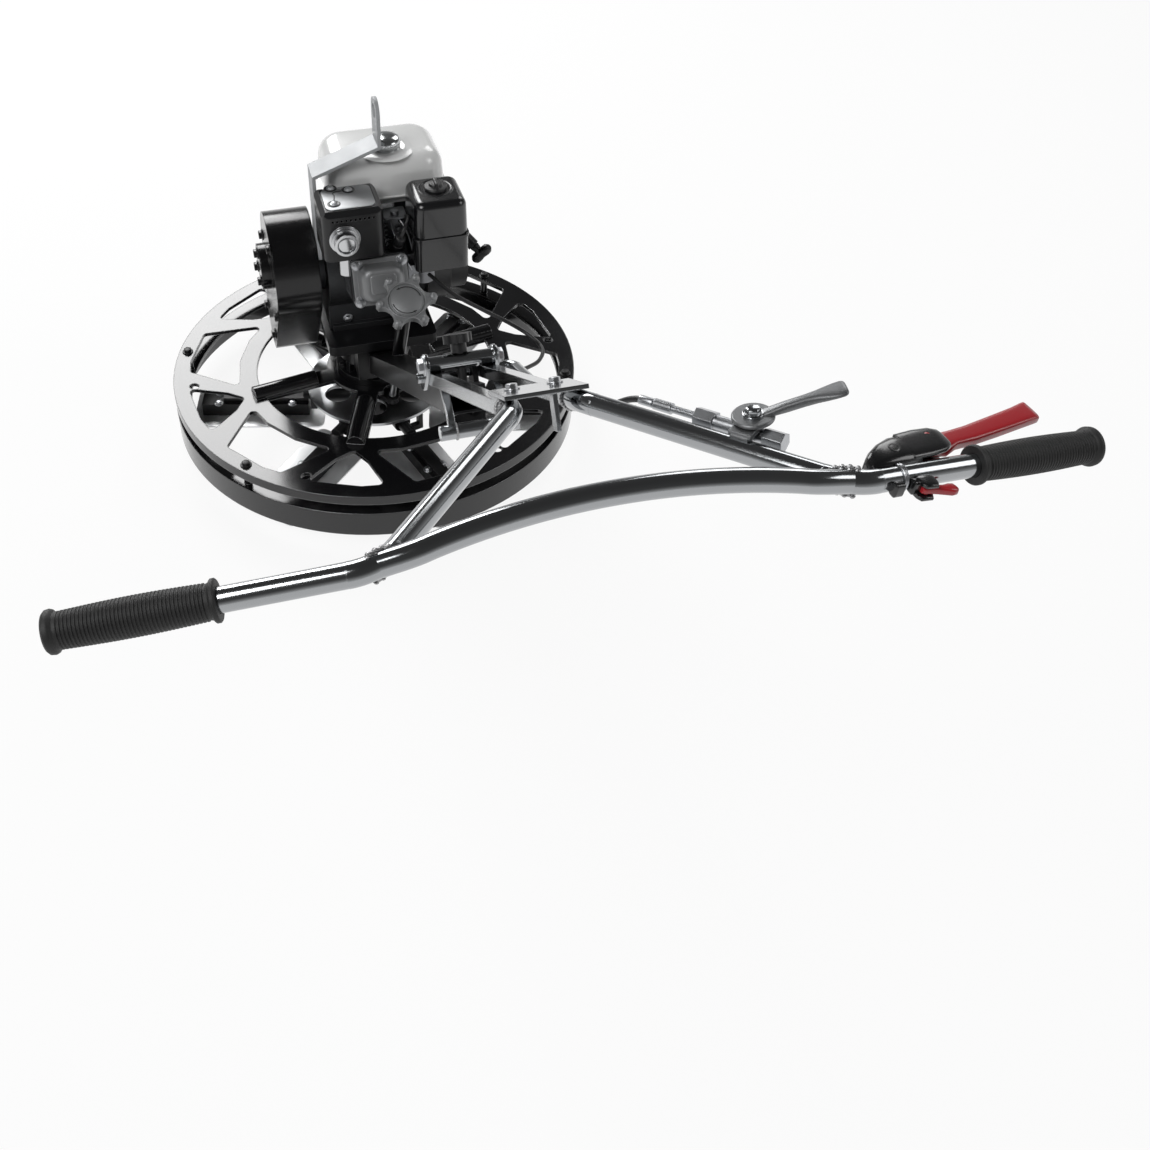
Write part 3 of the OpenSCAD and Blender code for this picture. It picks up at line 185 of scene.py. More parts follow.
class Value:
    """A shader socket that takes part in Python arithmetic."""

    def __init__(self, tree: bpy.types.NodeTree, socket: bpy.types.NodeSocket) -> None:
        """Keeps the tree and the socket."""
        self.tree = tree
        self.socket = socket

    def _math(self, operation: str, first: Operand, second: Operand, clamp: bool = False) -> Value:
        """Adds a Math node.

        Args:
            operation: The node's operation.
            first: Its first value or link.
            second: Its second value or link.
            clamp: Whether the result stays between 0 and 1.

        Returns:
            The node's result.
        """
        node = self.tree.nodes.new("ShaderNodeMath")
        node.operation = operation
        node.use_clamp = clamp
        for socket, value in zip(node.inputs, (first, second)):
            if isinstance(value, Value):
                self.tree.links.new(value.socket, socket)
            else:
                socket.default_value = value
        return Value(self.tree, node.outputs[0])

    def __add__(self, other: Operand) -> Value:
        """Adds a number or a value."""
        return self._math("ADD", self, other)

    def __sub__(self, other: Operand) -> Value:
        """Takes a number or a value away."""
        return self._math("SUBTRACT", self, other)

    def __rsub__(self, other: Operand) -> Value:
        """Takes this value away from a number."""
        return self._math("SUBTRACT", other, self)

    def __mul__(self, other: Operand) -> Value:
        """Multiplies by a number or a value."""
        return self._math("MULTIPLY", self, other)

    __radd__ = __add__
    __rmul__ = __mul__

    def clamped(self) -> Value:
        """Holds the value between 0 and 1."""
        return self._math("ADD", self, 0.0, clamp=True)


Operand = Union[Value, float]


class Graph:
    """A node tree whose nodes come from one method."""

    def __init__(self, tree: bpy.types.NodeTree) -> None:
        """Keeps the tree."""
        self.tree = tree

    def node(self, kind: str, settings: dict[str, Any] | None = None,
             inputs: dict[str | int, Any] | None = None, output: str | int = 0) -> Value:
        """Adds a node.

        Args:
            kind: The node's type.
            settings: Properties that are set before its sockets, or the grey stops of a ramp.
            inputs: Values or links of its sockets, by name or number.
            output: The output that is used, by name or number.

        Returns:
            That output.
        """
        made = self.tree.nodes.new(kind)
        for key, value in (settings or {}).items():
            if key == "stops":
                self.set_stops(made.color_ramp, value)
            else:
                setattr(made, key, value)
        for key, value in (inputs or {}).items():
            self.feed(made.inputs[key], value)
        return Value(self.tree, made.outputs[output])

    @staticmethod
    def set_stops(ramp: bpy.types.ColorRamp, stops: Sequence[tuple[float, float]]) -> None:
        """Sets the grey stops of a ramp.

        Args:
            ramp: The ramp, with its two stops of the start.
            stops: Place and grey of each stop, from 0 to 1.
        """
        for spot, _ in stops[1:-1]:
            ramp.elements.new(spot)
        for element, (_, grey) in zip(ramp.elements, stops):
            element.color = (grey, grey, grey, 1.0)

    def feed(self, socket: bpy.types.NodeSocket, value: Any) -> None:
        """Fills a socket.

        Args:
            socket: The socket.
            value: A link, a number or a colour.
        """
        if isinstance(value, Value):
            self.tree.links.new(value.socket, socket)
        elif socket.type == "RGBA":
            socket.default_value = (*value, 1.0)
        else:
            socket.default_value = value


class Shader(Graph):
    """A node material with one principled surface on Object coordinates."""

    def __init__(self, name: str) -> None:
        """Starts an empty material.

        Args:
            name: The material's name.
        """
        self.material = bpy.data.materials.new(name)
        self.material.use_nodes = True
        super().__init__(self.material.node_tree)
        self.surface = self.tree.nodes["Principled BSDF"]
        self.place = self.node("ShaderNodeTexCoord", output="Object")

    def noise(self, scale: float, detail: float, stretch: Point = (1.0, 1.0, 1.0)) -> Value:
        """Adds a noise texture.

        Args:
            scale: Cells in a metre.
            detail: Octaves.
            stretch: How much finer the cells are along each axis.

        Returns:
            The noise, about 0.5 on average.
        """
        where = self.node("ShaderNodeMapping", {}, {"Vector": self.place, "Scale": stretch})
        return self.node("ShaderNodeTexNoise", {}, {"Vector": where, "Scale": scale, "Detail": detail}, "Fac")

    def mix(self, factor: Operand, first: Any, second: Any) -> Value:
        """Mixes two colours.

        Args:
            factor: 0 gives the first colour and 1 the second.
            first: A colour or a link.
            second: A colour or a link.

        Returns:
            The mixed colour.
        """
        return self.node("ShaderNodeMix", {"data_type": "RGBA"}, {0: factor, 6: first, 7: second}, 2)

    def set(self, **inputs: Any) -> None:
        """Feeds the surface's sockets, named with underscores for spaces."""
        for key, value in inputs.items():
            self.feed(self.surface.inputs[key.replace("_", " ")], value)


@dataclass(frozen=True)
class Finish:
    """A surface finish: two tints, gloss, grain and a lighter colour along edges, partly rubbed paint and
    partly a painted highlight.
    """

    slot: Slot
    tint: Colour
    shade: Colour
    metallic: float = 0.0
    roughness: float = 0.4
    spread: float = 0.12
    coat: float = 0.0
    coat_roughness: float = 0.12
    mottle: float = 14.0
    mottle_detail: float = 5.0
    grain: float = 900.0
    grain_detail: float = 3.0
    depth: float = 0.04
    bump: float = 0.001
    edge: float = 0.0010
    edge_samples: int = 6
    # Colour along edges: partly rubbed paint, partly a painted highlight where light catches the edges
    edge_wear_and_highlight: Colour | None = None
    edge_wear_and_highlight_gain: float = 2.0
    edge_wear_and_highlight_start: float = 0.1
    stretch: Colour = (1.0, 1.0, 1.0)
    shine: float = 0.5
    variant: str = ""

    @property
    def name(self) -> str:
        """The material's name."""
        return self.slot.value + self.variant

    def make(self) -> bpy.types.Material:
        """Builds the finish as a node material.

        Returns:
            The material.
        """
        shader = Shader(self.name)
        cloud = shader.noise(self.mottle, self.mottle_detail)
        fine = shader.noise(self.grain, self.grain_detail, self.stretch)
        colour = shader.mix(cloud, self.tint, self.shade)
        metal: Operand = self.metallic
        rounded = shader.node("ShaderNodeBevel", {"samples": self.edge_samples}, {"Radius": self.edge})
        # Edges turn lighter and more metallic: partly rubbed paint, partly a painted highlight standing in
        # for light caught on the edges
        if self.edge_wear_and_highlight:
            true = shader.node("ShaderNodeNewGeometry", output="Normal")
            dot = {"operation": "DOT_PRODUCT"}
            agree = shader.node("ShaderNodeVectorMath", dot, {0: rounded, 1: true}, "Value")
            edge_wear_and_highlight_mask = ((1.0 - agree) * self.edge_wear_and_highlight_gain * (fine + cloud) - self.edge_wear_and_highlight_start).clamped()
            colour = shader.mix(edge_wear_and_highlight_mask, colour, self.edge_wear_and_highlight)
            metal = (edge_wear_and_highlight_mask * (1.0 - self.metallic) + self.metallic).clamped()
        # The cloud counts in full and the grain by half, round the finish's own roughness
        gloss = cloud * self.spread + fine * (self.spread * 0.5) + (self.roughness - self.spread * 0.75)
        relief = {"Strength": self.depth, "Distance": self.bump, "Height": fine, "Normal": rounded}
        normal = shader.node("ShaderNodeBump", {}, relief)
        shader.set(Base_Color=colour, Metallic=metal, Roughness=gloss.clamped(), Normal=normal)
        shader.set(Coat_Weight=self.coat, Coat_Roughness=self.coat_roughness, Specular_IOR_Level=self.shine)
        return shader.material


BLACK = (0.0045, 0.0045, 0.0050)
INK = (0.0035, 0.0035, 0.0040)
SMOKE = (0.0085, 0.0085, 0.0095)
STEEL = (0.52, 0.53, 0.54)

# The lighter edge colours given below are partly rubbed paint and partly a painted edge highlight
RING = Finish(Slot.RING, BLACK, SMOKE, roughness=0.15, coat=0.28, grain=620, depth=0.07, edge=0.0022,
              edge_wear_and_highlight=(0.50, 0.51, 0.52), edge_wear_and_highlight_gain=1.6, shine=0.42)
ARM = Finish(Slot.ARM, BLACK, SMOKE, roughness=0.40, edge_wear_and_highlight=(0.3, 0.3, 0.3), edge_wear_and_highlight_gain=1.0, shine=0.34)
BLADE = Finish(Slot.BLADE, (0.86, 0.865, 0.87), (0.70, 0.71, 0.72), 0.55, 0.34, 0.22, mottle=20, grain=260,
               depth=0.05, stretch=(1.0, 5.0, 1.0))
MACHINED = Finish(Slot.MACHINED, STEEL, (0.40, 0.41, 0.42), 1.0, 0.30, grain=700)
BRONZE = Finish(Slot.BRONZE, (0.47, 0.29, 0.10), (0.36, 0.21, 0.07), 1.0, 0.32)
GEARBOX = Finish(Slot.GEARBOX, BLACK, SMOKE, roughness=0.34, coat=0.10, grain=520, depth=0.10, edge=0.0016,
                 edge_wear_and_highlight=(0.30, 0.31, 0.32), edge_wear_and_highlight_gain=1.1, shine=0.34)
GUARD = Finish(Slot.GUARD, INK, BLACK, roughness=0.20, coat=0.15, grain=760, depth=0.05, edge=0.0034,
               shine=0.32)
BELT = Finish(Slot.BELT, INK, BLACK, roughness=0.75)
ENGINE = Finish(Slot.ENGINE, (0.060, 0.062, 0.065), (0.024, 0.025, 0.027), 0.75, 0.46, 0.2, grain=480,
                depth=0.22, edge=0.0014, edge_wear_and_highlight=(0.30, 0.31, 0.32), edge_wear_and_highlight_gain=1.0)
CARB = Finish(Slot.ENGINE, (0.26, 0.27, 0.28), (0.15, 0.15, 0.16), 0.9, 0.4, 0.2, grain=420, depth=0.18,
              variant="_bright")
COVER = Finish(Slot.COVER, (0.25, 0.255, 0.26), (0.19, 0.193, 0.197), 0.6, 0.44, 0.12, grain=1100, depth=0.22,
               edge=0.0016, edge_wear_and_highlight=(0.60, 0.61, 0.62), edge_wear_and_highlight_gain=1.2)
KNOB = Finish(Slot.KNOB, (0.28, 0.285, 0.29), (0.21, 0.215, 0.22), 0.5, 0.44, 0.12, grain=1100, depth=0.22,
              edge=0.0016, edge_wear_and_highlight=(0.55, 0.56, 0.57), edge_wear_and_highlight_gain=1.2)
EXHAUST = Finish(Slot.EXHAUST, (0.62, 0.63, 0.64), (0.48, 0.48, 0.49), 1.0, 0.20, 0.16, grain=600)
PLATE = Finish(Slot.EXHAUST, (0.27, 0.275, 0.28), (0.20, 0.205, 0.21), 1.0, 0.36, 0.16, grain=240, depth=0.05,
               stretch=(6.0, 1.0, 1.0), variant="_plate")
SHIELD = Finish(Slot.SHIELD, BLACK, (0.014, 0.014, 0.015), roughness=0.30, coat=0.1, grain=640, depth=0.10,
                edge=0.0014, edge_wear_and_highlight=(0.40, 0.41, 0.42), edge_wear_and_highlight_gain=1.2, shine=0.36)
PLASTIC = Finish(Slot.PLASTIC, (0.006, 0.006, 0.0065), (0.011, 0.011, 0.012), roughness=0.38, spread=0.08,
                 grain=1500, depth=0.14, edge=0.0014)
GLOSSY = Finish(Slot.PLASTIC, INK, (0.007, 0.007, 0.008), roughness=0.24, spread=0.06, coat=0.4, grain=900,
                depth=0.04, variant="_gloss")
TANK = Finish(Slot.TANK, (0.74, 0.745, 0.74), (0.69, 0.695, 0.69), roughness=0.20, spread=0.05, coat=0.6,
              mottle=5, grain=420, depth=0.02)
CAP = Finish(Slot.CAP, (0.62, 0.63, 0.64), (0.50, 0.51, 0.52), 1.0, 0.16, 0.1)
ZINC = Finish(Slot.ZINC, (0.50, 0.51, 0.52), (0.38, 0.39, 0.41), 1.0, 0.30, 0.16, mottle=60, grain=500,
              edge=0.0012)
PALE = Finish(Slot.ZINC, (0.40, 0.41, 0.42), (0.33, 0.34, 0.35), 0.2, 0.50, 0.14, mottle=40, grain=600,
              edge=0.0012, variant="_pale")
FORGED = Finish(Slot.ZINC, (0.22, 0.225, 0.23), (0.155, 0.158, 0.162), 0.85, 0.42, 0.16, mottle=50, grain=700,
                depth=0.12, edge=0.0014, variant="_satin")
CHROME = Finish(Slot.CHROME, (0.40, 0.41, 0.42), (0.33, 0.34, 0.35), 1.0, 0.12, 0.08, mottle=10, grain=800,
                depth=0.02, edge=0.0016)
WELD = Finish(Slot.CHROME, (0.42, 0.42, 0.42), (0.26, 0.26, 0.27), 1.0, 0.34, 0.2, mottle=180, grain=260,
              depth=0.7, variant="_weld")
GRIP = Finish(Slot.GRIP, (0.007, 0.007, 0.007), (0.013, 0.013, 0.013), roughness=0.58, grain=1400, depth=0.2)
RED = Finish(Slot.RED, (0.42, 0.008, 0.016), (0.34, 0.006, 0.012), roughness=0.30, spread=0.06, coat=0.3,
             depth=0.03)
CABLE = Finish(Slot.CABLE, INK, (0.009, 0.009, 0.010), roughness=0.42, grain=500, depth=0.1)
PAINTED_INK = Finish(Slot.KNOB, INK, BLACK, roughness=0.5, variant="_ink")

FRAME_FINISHES = (RING, ARM, BLADE, MACHINED, BRONZE, GEARBOX, GUARD, BELT, ENGINE, COVER, KNOB, EXHAUST,
                  SHIELD, PLASTIC, TANK, CAP, ZINC, CHROME, GRIP, RED, CABLE)


def stand(at: Point, direction: Point) -> Matrix:
    """Places an upright shape.

    Args:
        at: Where its base goes.
        direction: Where its Z axis points.

    Returns:
        The matrix that puts it there.
    """
    unit = Vector(direction).normalized()
    turn = Matrix.Rotation(math.atan2(unit.y, unit.x), 4, "Z")
    lean = Matrix.Rotation(math.acos(max(-1.0, min(1.0, unit.z))), 4, "Y")
    return Matrix.Translation(Vector(at)) @ turn @ lean


def heading(frame: Matrix) -> Vector:
    """Tells where the Z axis of a frame points."""
    return frame.to_3x3() @ Vector(UP)


def polar(turn: float, radius: float, height: float = 0.0) -> Vector:
    """Gives a point round the Z axis, at an angle in radians."""
    return Vector((radius * math.cos(turn), radius * math.sin(turn), height))


@dataclass(frozen=True)
class HexHead:
    """Proportions of a bolt head and its washer, against the radius over the head's corners."""

    tall: float = 0.75
    chamfer: float = 0.14
    washer_r: float = 1.35
    washer_low: float = 0.1
    washer_high: float = 0.22
    washer_edge: float = 0.06
    seat: float = 0.2


HEX_HEAD = HexHead()


class Blank:
    """A mesh under way, put together from shapes that bmesh operators make."""

    def __init__(self) -> None:
        """Starts with nothing."""
        self.whole = bmesh.new()

    def take(self, shape: bmesh.types.BMesh, where: Matrix) -> None:
        """Moves a shape into place and adds it.

        Args:
            shape: The shape, which is used up.
            where: Its place.
        """
        bmesh.ops.transform(shape, matrix=where, verts=shape.verts)
        loose = bpy.data.meshes.new("loose")
        shape.to_mesh(loose)
        shape.free()
        self.whole.from_mesh(loose)
        bpy.data.meshes.remove(loose)

    def block(self, size: Point, where: Matrix, corner: float = 0.0, rim: float = 0.0, foot: float = 0.0,
              taper: float = 1.0, segments: int = 5) -> None:
        """Adds a block that stands on its base.

        Args:
            size: Width, depth and height.
            where: The place of the middle of its base.
            corner: Radius of the upright edges.
            rim: Radius of the top edges.
            foot: Radius of the bottom edges.
            taper: Size of the top against the base.
            segments: Steps in each round.
        """
        shape = bmesh.new()
        bmesh.ops.create_cube(shape, size=1.0, matrix=Matrix.Translation((0, 0, 0.5)))
        bmesh.ops.scale(shape, verts=shape.verts, vec=size)
        top = [v for v in shape.verts if v.co.z > size[2] / 2]
        bmesh.ops.scale(shape, verts=top, vec=(taper, taper, 1.0))
        uprights = [e for e in shape.edges if abs(e.verts[0].co.z - e.verts[1].co.z) > size[2] / 2]
        self.round_edges(shape, uprights, corner, segments)
        self.round_edges(shape, self.level_edges(shape, size[2]), rim, segments)
        self.round_edges(shape, self.level_edges(shape, 0.0), foot, segments)
        self.take(shape, where)

    @staticmethod
    def level_edges(shape: bmesh.types.BMesh, height: float) -> list[bmesh.types.BMEdge]:
        """Lists a shape's edges that lie at one height."""
        return [e for e in shape.edges if all(abs(v.co.z - height) < MERGE for v in e.verts)]

    @staticmethod
    def round_edges(shape: bmesh.types.BMesh, edges: list[bmesh.types.BMEdge], radius: float,
                    segments: int) -> None:
        """Rounds edges of a shape, where a radius is given.

        Args:
            shape: The shape.
            edges: Its edges.
            radius: Size of the round.
            segments: Steps in it.
        """
        if radius > 0:
            bmesh.ops.bevel(shape, geom=edges, offset=radius, affect="EDGES", segments=segments, profile=0.5,
                            material=-1, clamp_overlap=True)

    def rod(self, start: Point, end: Point, radius: float, far_radius: float | None = None, sides: int = 40,
            edge: float = 0.0) -> None:
        """Adds a round bar or a cone.

        Args:
            start: Middle of its first end.
            end: Middle of its other end.
            radius: Its radius.
            far_radius: Its radius at the other end, where that differs.
            sides: Steps round it.
            edge: Round of its ends.
        """
        line = Vector(end) - Vector(start)
        shape = bmesh.new()
        bmesh.ops.create_cone(shape, cap_ends=True, segments=sides, radius1=radius,
                              radius2=radius if far_radius is None else far_radius, depth=line.length,
                              matrix=Matrix.Translation((0, 0, line.length / 2)))
        ends = self.level_edges(shape, 0.0) + self.level_edges(shape, line.length)
        self.round_edges(shape, ends, edge, 3)
        self.take(shape, stand(start, line))

    def loft(self, rows: Sequence[Row], where: Matrix, power: float = 3.0, steps: int = 36) -> None:
        """Adds a moulding through soft-cornered sections.

        Args:
            rows: The sections from the bottom to the top.
            where: Its place, with Z along it.
            power: How square the sections are, from 2 for an oval.
            steps: Steps round it.
        """
        shape = bmesh.new()
        loop = bmesh.ops.create_circle(shape, cap_ends=True, segments=steps, radius=1.0)["verts"]
        for vert in loop:
            for axis in (0, 1):
                vert.co[axis] = math.copysign(abs(vert.co[axis]) ** (2 / power), vert.co[axis])
        rim = shape.edges[:]
        last: Row = (0.0, 0.0, 0.0, 1.0, 1.0)
        for k, row in enumerate(rows):
            if k:
                made = bmesh.ops.extrude_edge_only(shape, edges=rim)["geom"]
                loop = [part for part in made if isinstance(part, bmesh.types.BMVert)]
                rim = [part for part in made if isinstance(part, bmesh.types.BMEdge)]
            height, x, y, half_x, half_y = row
            bmesh.ops.translate(shape, verts=loop, vec=(-last[1], -last[2], -last[0]))
            bmesh.ops.scale(shape, verts=loop, vec=(half_x / last[3], half_y / last[4], 1.0))
            bmesh.ops.translate(shape, verts=loop, vec=(x, y, height))
            last = row
        bmesh.ops.contextual_create(shape, geom=rim)
        bmesh.ops.recalc_face_normals(shape, faces=shape.faces)
        self.take(shape, where)

    def lathe(self, profile: Profile, where: Matrix, steps: int = 48) -> None:
        """Adds a turned shape.

        Args:
            profile: Its outline.
            where: Its place, with Z as the axis.
            steps: Steps round it.
        """
        shape = bmesh.new()
        points = [shape.verts.new((radius, 0.0, height)) for radius, height in profile]
        edges = [shape.edges.new(pair) for pair in zip(points, points[1:])]
        bmesh.ops.spin(shape, geom=points + edges, cent=(0, 0, 0), axis=UP, angle=math.tau, steps=steps,
                       use_merge=True)
        bmesh.ops.remove_doubles(shape, verts=shape.verts, dist=MERGE)
        bmesh.ops.recalc_face_normals(shape, faces=shape.faces)
        self.take(shape, where)

    def ring(self, at: Point, axis: Point, radius: float, bead: float, lumps: int = 0, swell: float = 0.25,
             sides: int = 10, steps: int = 72) -> None:
        """Adds a round bead, such as a weld.

        Args:
            at: Its middle.
            axis: Its axis.
            radius: Radius of its core.
            bead: Radius of the bead.
            lumps: Number of ripples along it.
            swell: Share by which a ripple is thicker.
            sides: Steps round the bead.
            steps: Steps round the axis.
        """
        upright = Matrix.Translation((radius, 0, 0)) @ Matrix.Rotation(math.pi / 2, 4, "X")
        shape = bmesh.new()
        bmesh.ops.create_circle(shape, segments=sides, radius=bead, matrix=upright)
        bmesh.ops.spin(shape, geom=shape.verts[:] + shape.edges[:], cent=(0, 0, 0), axis=UP, angle=math.tau,
                       steps=steps, use_merge=True)
        bmesh.ops.remove_doubles(shape, verts=shape.verts, dist=MERGE)
        for vert in shape.verts:
            turn = math.atan2(vert.co.y, vert.co.x)
            core = polar(turn, radius)
            vert.co = core + (vert.co - core) * (1.0 + swell * math.sin(turn * lumps))
        bmesh.ops.recalc_face_normals(shape, faces=shape.faces)
        self.take(shape, stand(at, axis))

    def bolt(self, at: Point, axis: Point, size: float, height: float = 0.0) -> None:
        """Adds a hex bolt head on its washer.

        Args:
            at: Where it sits.
            axis: Where it points.
            size: Radius over the corners.
            height: Height of the head, or 0 for the usual one.
        """
        tall = height or size * HEX_HEAD.tall
        seat = size * HEX_HEAD.seat
        shape = bmesh.new()
        bmesh.ops.create_cone(shape, cap_ends=True, segments=6, radius1=size, radius2=size, depth=tall,
                              matrix=Matrix.Translation((0, 0, tall / 2 + seat)))
        self.round_edges(shape, self.level_edges(shape, tall + seat), size * HEX_HEAD.chamfer, 2)
        self.take(shape, stand(at, axis))
        unit = Vector(axis).normalized()
        low = Vector(at) - unit * size * HEX_HEAD.washer_low
        high = Vector(at) + unit * size * HEX_HEAD.washer_high
        self.rod(low, high, size * HEX_HEAD.washer_r, sides=28, edge=size * HEX_HEAD.washer_edge)

    def tube(self, points: Sequence[Point], radius: float, steps: int = 8, sides: int = 3) -> None:
        """Adds a smooth round tube through a list of points.

        Args:
            points: The points of its middle line.
            radius: Its radius.
            steps: Steps between two points.
            sides: Fineness of its round.
        """
        curve = bpy.data.curves.new("line", "CURVE")
        curve.dimensions = "3D"
        curve.bevel_depth = radius
        curve.bevel_resolution = sides
        curve.resolution_u = steps
        curve.use_fill_caps = True
        spline = curve.splines.new("BEZIER")
        spline.bezier_points.add(len(points) - 1)
        for knot, point in zip(spline.bezier_points, points):
            knot.co = point
            knot.handle_left_type = "AUTO"
            knot.handle_right_type = "AUTO"
        line = bpy.data.objects.new("line", curve)
        bpy.context.scene.collection.objects.link(line)
        bpy.context.view_layer.update()
        loose = bpy.data.meshes.new_from_object(line)
        self.whole.from_mesh(loose)
        bpy.data.meshes.remove(loose)
        bpy.data.objects.remove(line)
        bpy.data.curves.remove(curve)

    def mesh(self, name: str, sharp: float) -> bpy.types.Mesh:
        """Closes the mesh.

        Args:
            name: The mesh's name.
            sharp: Angle in degrees past which an edge shows sharp.

        Returns:
            The mesh, with its faces outwards.
        """
        bmesh.ops.remove_doubles(self.whole, verts=self.whole.verts, dist=MERGE / 10)
        bmesh.ops.recalc_face_normals(self.whole, faces=self.whole.faces)
        made = bpy.data.meshes.new(name)
        self.whole.to_mesh(made)
        self.whole.free()
        made.shade_smooth()
        made.set_sharp_from_angle(angle=math.radians(sharp))
        return made


class Workshop:
    """Holds the frame and the finishes, and puts pieces on bodies."""

    def __init__(self) -> None:
        """Loads the frame and lists the finishes of its slots."""
        self.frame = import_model()
        self.cad_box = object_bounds()
        self.paints: dict[str, bpy.types.Material] = {}
        self.by_slot = {finish.slot.value: finish for finish in FRAME_FINISHES}

    def paint(self, finish: Finish) -> bpy.types.Material:
        """Mixes a finish, once.

        Args:
            finish: The finish.

        Returns:
            Its material.
        """
        if finish.name not in self.paints:
            self.paints[finish.name] = finish.make()
        return self.paints[finish.name]

    def dress_frame(self, other: dict[str, Finish]) -> None:
        """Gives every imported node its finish.

        Args:
            other: Nodes whose finish isn't the one of their slot.
        """
        for part in self.frame["record"]["subparts"]:
            name = part["node"]
            finish = other.get(name, self.by_slot[part["material_slot"]])
            node = self.frame["nodes"][name]
            node.data.materials.clear()
            node.data.materials.append(self.paint(finish))
            LOG.info("dressed %s in %s", name, finish.name)

    def place(self, blank: Blank, name: str, finish: Finish, body: str | Span, stands_for: Iterable[str] = (),
              sharp: float = 40.0) -> None:
        """Makes a finished piece that rides on a body, or stays fixed in place for a span.

        Args:
            blank: Its mesh under way.
            name: Its name.
            finish: Its finish.
            body: The body that carries it, or a span between two, which leaves it on no body.
            stands_for: Nodes that it replaces.
            sharp: Angle in degrees past which an edge shows sharp.
        """
        piece = bpy.data.objects.new(name, blank.mesh(name, sharp))
        bpy.context.scene.collection.objects.link(piece)
        piece.data.materials.append(self.paint(finish))
        if isinstance(body, Span):
            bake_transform(piece)
        else:
            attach(piece, body)
        for node in stands_for:
            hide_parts(node)
        LOG.info("placed %s on %s", name, body)


@dataclass
class GuardRing:
    """Fasteners of the guard ring and the gearbox foot."""

    count: int = 6
    post_r: float = 0.311
    post_turn: float = 40.5
    post_top: float = 0.100
    post_head: float = 0.0065
    foot_r: float = 0.055
    foot_turn: float = 70.5
    foot_top: float = 0.112
    foot_head: float = 0.00585

    def build(self, shop: Workshop) -> None:
        """Bolts the hoop's posts and the gearbox foot to the plate.

        Args:
            shop: The workshop.
        """
        heads = Blank()
        for k in range(self.count):
            step = k * 360 / self.count
            post = polar(math.radians(self.post_turn + step), self.post_r, self.post_top)
            foot = polar(math.radians(self.foot_turn + step), self.foot_r, self.foot_top)
            heads.bolt(post, UP, self.post_head)
            heads.bolt(foot, UP, self.foot_head)
        shop.place(heads, "ring_bolts", ARM, "frame")


@dataclass
class BladeBolts:
    """The screws that hold each blade to its arm."""

    count: int = 6
    turn: float = 46.0
    reach: tuple[float, ...] = (0.140, 0.200, 0.262)
    side: float = 0.0125
    seat: float = 0.0250
    head: float = 0.0055

    def build(self, shop: Workshop) -> None:
        """Sets the screws of all arms.

        Args:
            shop: The workshop.
        """
        for k in range(self.count):
            turn = Matrix.Rotation(math.radians(self.turn + k * 360 / self.count), 4, "Z")
            heads = Blank()
            for reach in self.reach:
                for side in (-self.side, self.side):
                    heads.bolt(turn @ Vector((reach, side, self.seat)), UP, self.head)
            shop.place(heads, f"blade_screws_{k + 1}", ZINC, f"arm_{k + 1}")


@dataclass
class FuelTank:
    """Pressed-steel tank with a drawn-in top, a seam and a filler rim."""

    corner: float = 0.034
    shoulder: float = 0.026
    taper: float = 0.945
    foot: float = 0.006
    skirt: float = 0.012
    pan_in: float = 0.006
    pan_corner: float = 0.0272
    seam: float = 0.0022
    seam_edge: float = 0.00088
    rim: Profile = ((0.041, -0.0010), (0.037, 0.0004), (0.031, 0.0018), (0.027, 0.0018), (0.024, 0.0006),
                    (0.016, 0.0006), (0.016, -0.004))

    def build(self, shop: Workshop) -> None:
        """Forms the tank in the space of its solid.

        Args:
            shop: The workshop.
        """
        room = Room.of("fuel_tank")
        wide, deep, tall = room.size
        shell = Blank()
        shell.block((wide, deep, tall - self.skirt / 2), self.at(room, self.skirt / 2), self.corner,
                    self.shoulder, self.foot, self.taper, segments=10)
        pan = (wide - 2 * self.pan_in, deep - 2 * self.pan_in, self.skirt * 2)
        shell.block(pan, self.at(room, 0.0), self.pan_corner, segments=8)
        seam = (wide + 2 * self.seam, deep + 2 * self.seam, self.seam)
        shell.block(seam, self.at(room, self.skirt), self.corner, self.seam_edge, self.seam_edge, segments=8)
        cap = Room.of("fuel_cap").middle
        shell.lathe(self.rim, Matrix.Translation((cap.x, cap.y, room.high.z)))
        shop.place(shell, "tank_shell", TANK, "frame", ("fuel_tank",), sharp=30)

    @staticmethod
    def at(room: Room, height: float) -> Matrix:
        """Gives a place over the middle of the tank's underside."""
        return Matrix.Translation(room.foot + Vector((0, 0, height)))


@dataclass
class FuelCap:
    """Turned cap with a knurled band and a domed top."""

    # Inset from the full radius, with the height for the band and the drop from the top for the dome
    band: Profile = ((0.003, 0.0), (0.003, 0.004), (0.0008, 0.0045), (0.0, 0.006))
    dome: Profile = ((0.0, 0.007), (0.001, 0.005), (0.004, 0.0025), (0.010, 0.0008))
    ribs: int = 36
    rib_r: float = 0.0009
    rib_in: float = 0.0003
    rib_low: float = 0.0065
    rib_drop: float = 0.008

    def build(self, shop: Workshop) -> None:
        """Turns the cap in the space of its solid.

        Args:
            shop: The workshop.
        """
        room = Room.of("fuel_cap")
        r = room.size.x / 2
        top = room.size.z
        outline = [(0.0, 0.0), *((r - inset, height) for inset, height in self.band)]
        outline += [*((r - inset, top - drop) for inset, drop in self.dome), (0.0, top)]
        cap = Blank()
        cap.lathe(outline, Matrix.Translation(room.foot), steps=64)
        for k in range(self.ribs):
            turn = math.tau * k / self.ribs
            low = room.foot + polar(turn, r - self.rib_in, self.rib_low)
            high = room.foot + polar(turn, r - self.rib_in, top - self.rib_drop)
            cap.rod(low, high, self.rib_r, sides=8)
        shop.place(cap, "fuel_cap_shell", CAP, "fuel_cap", ("fuel_cap",), sharp=35)


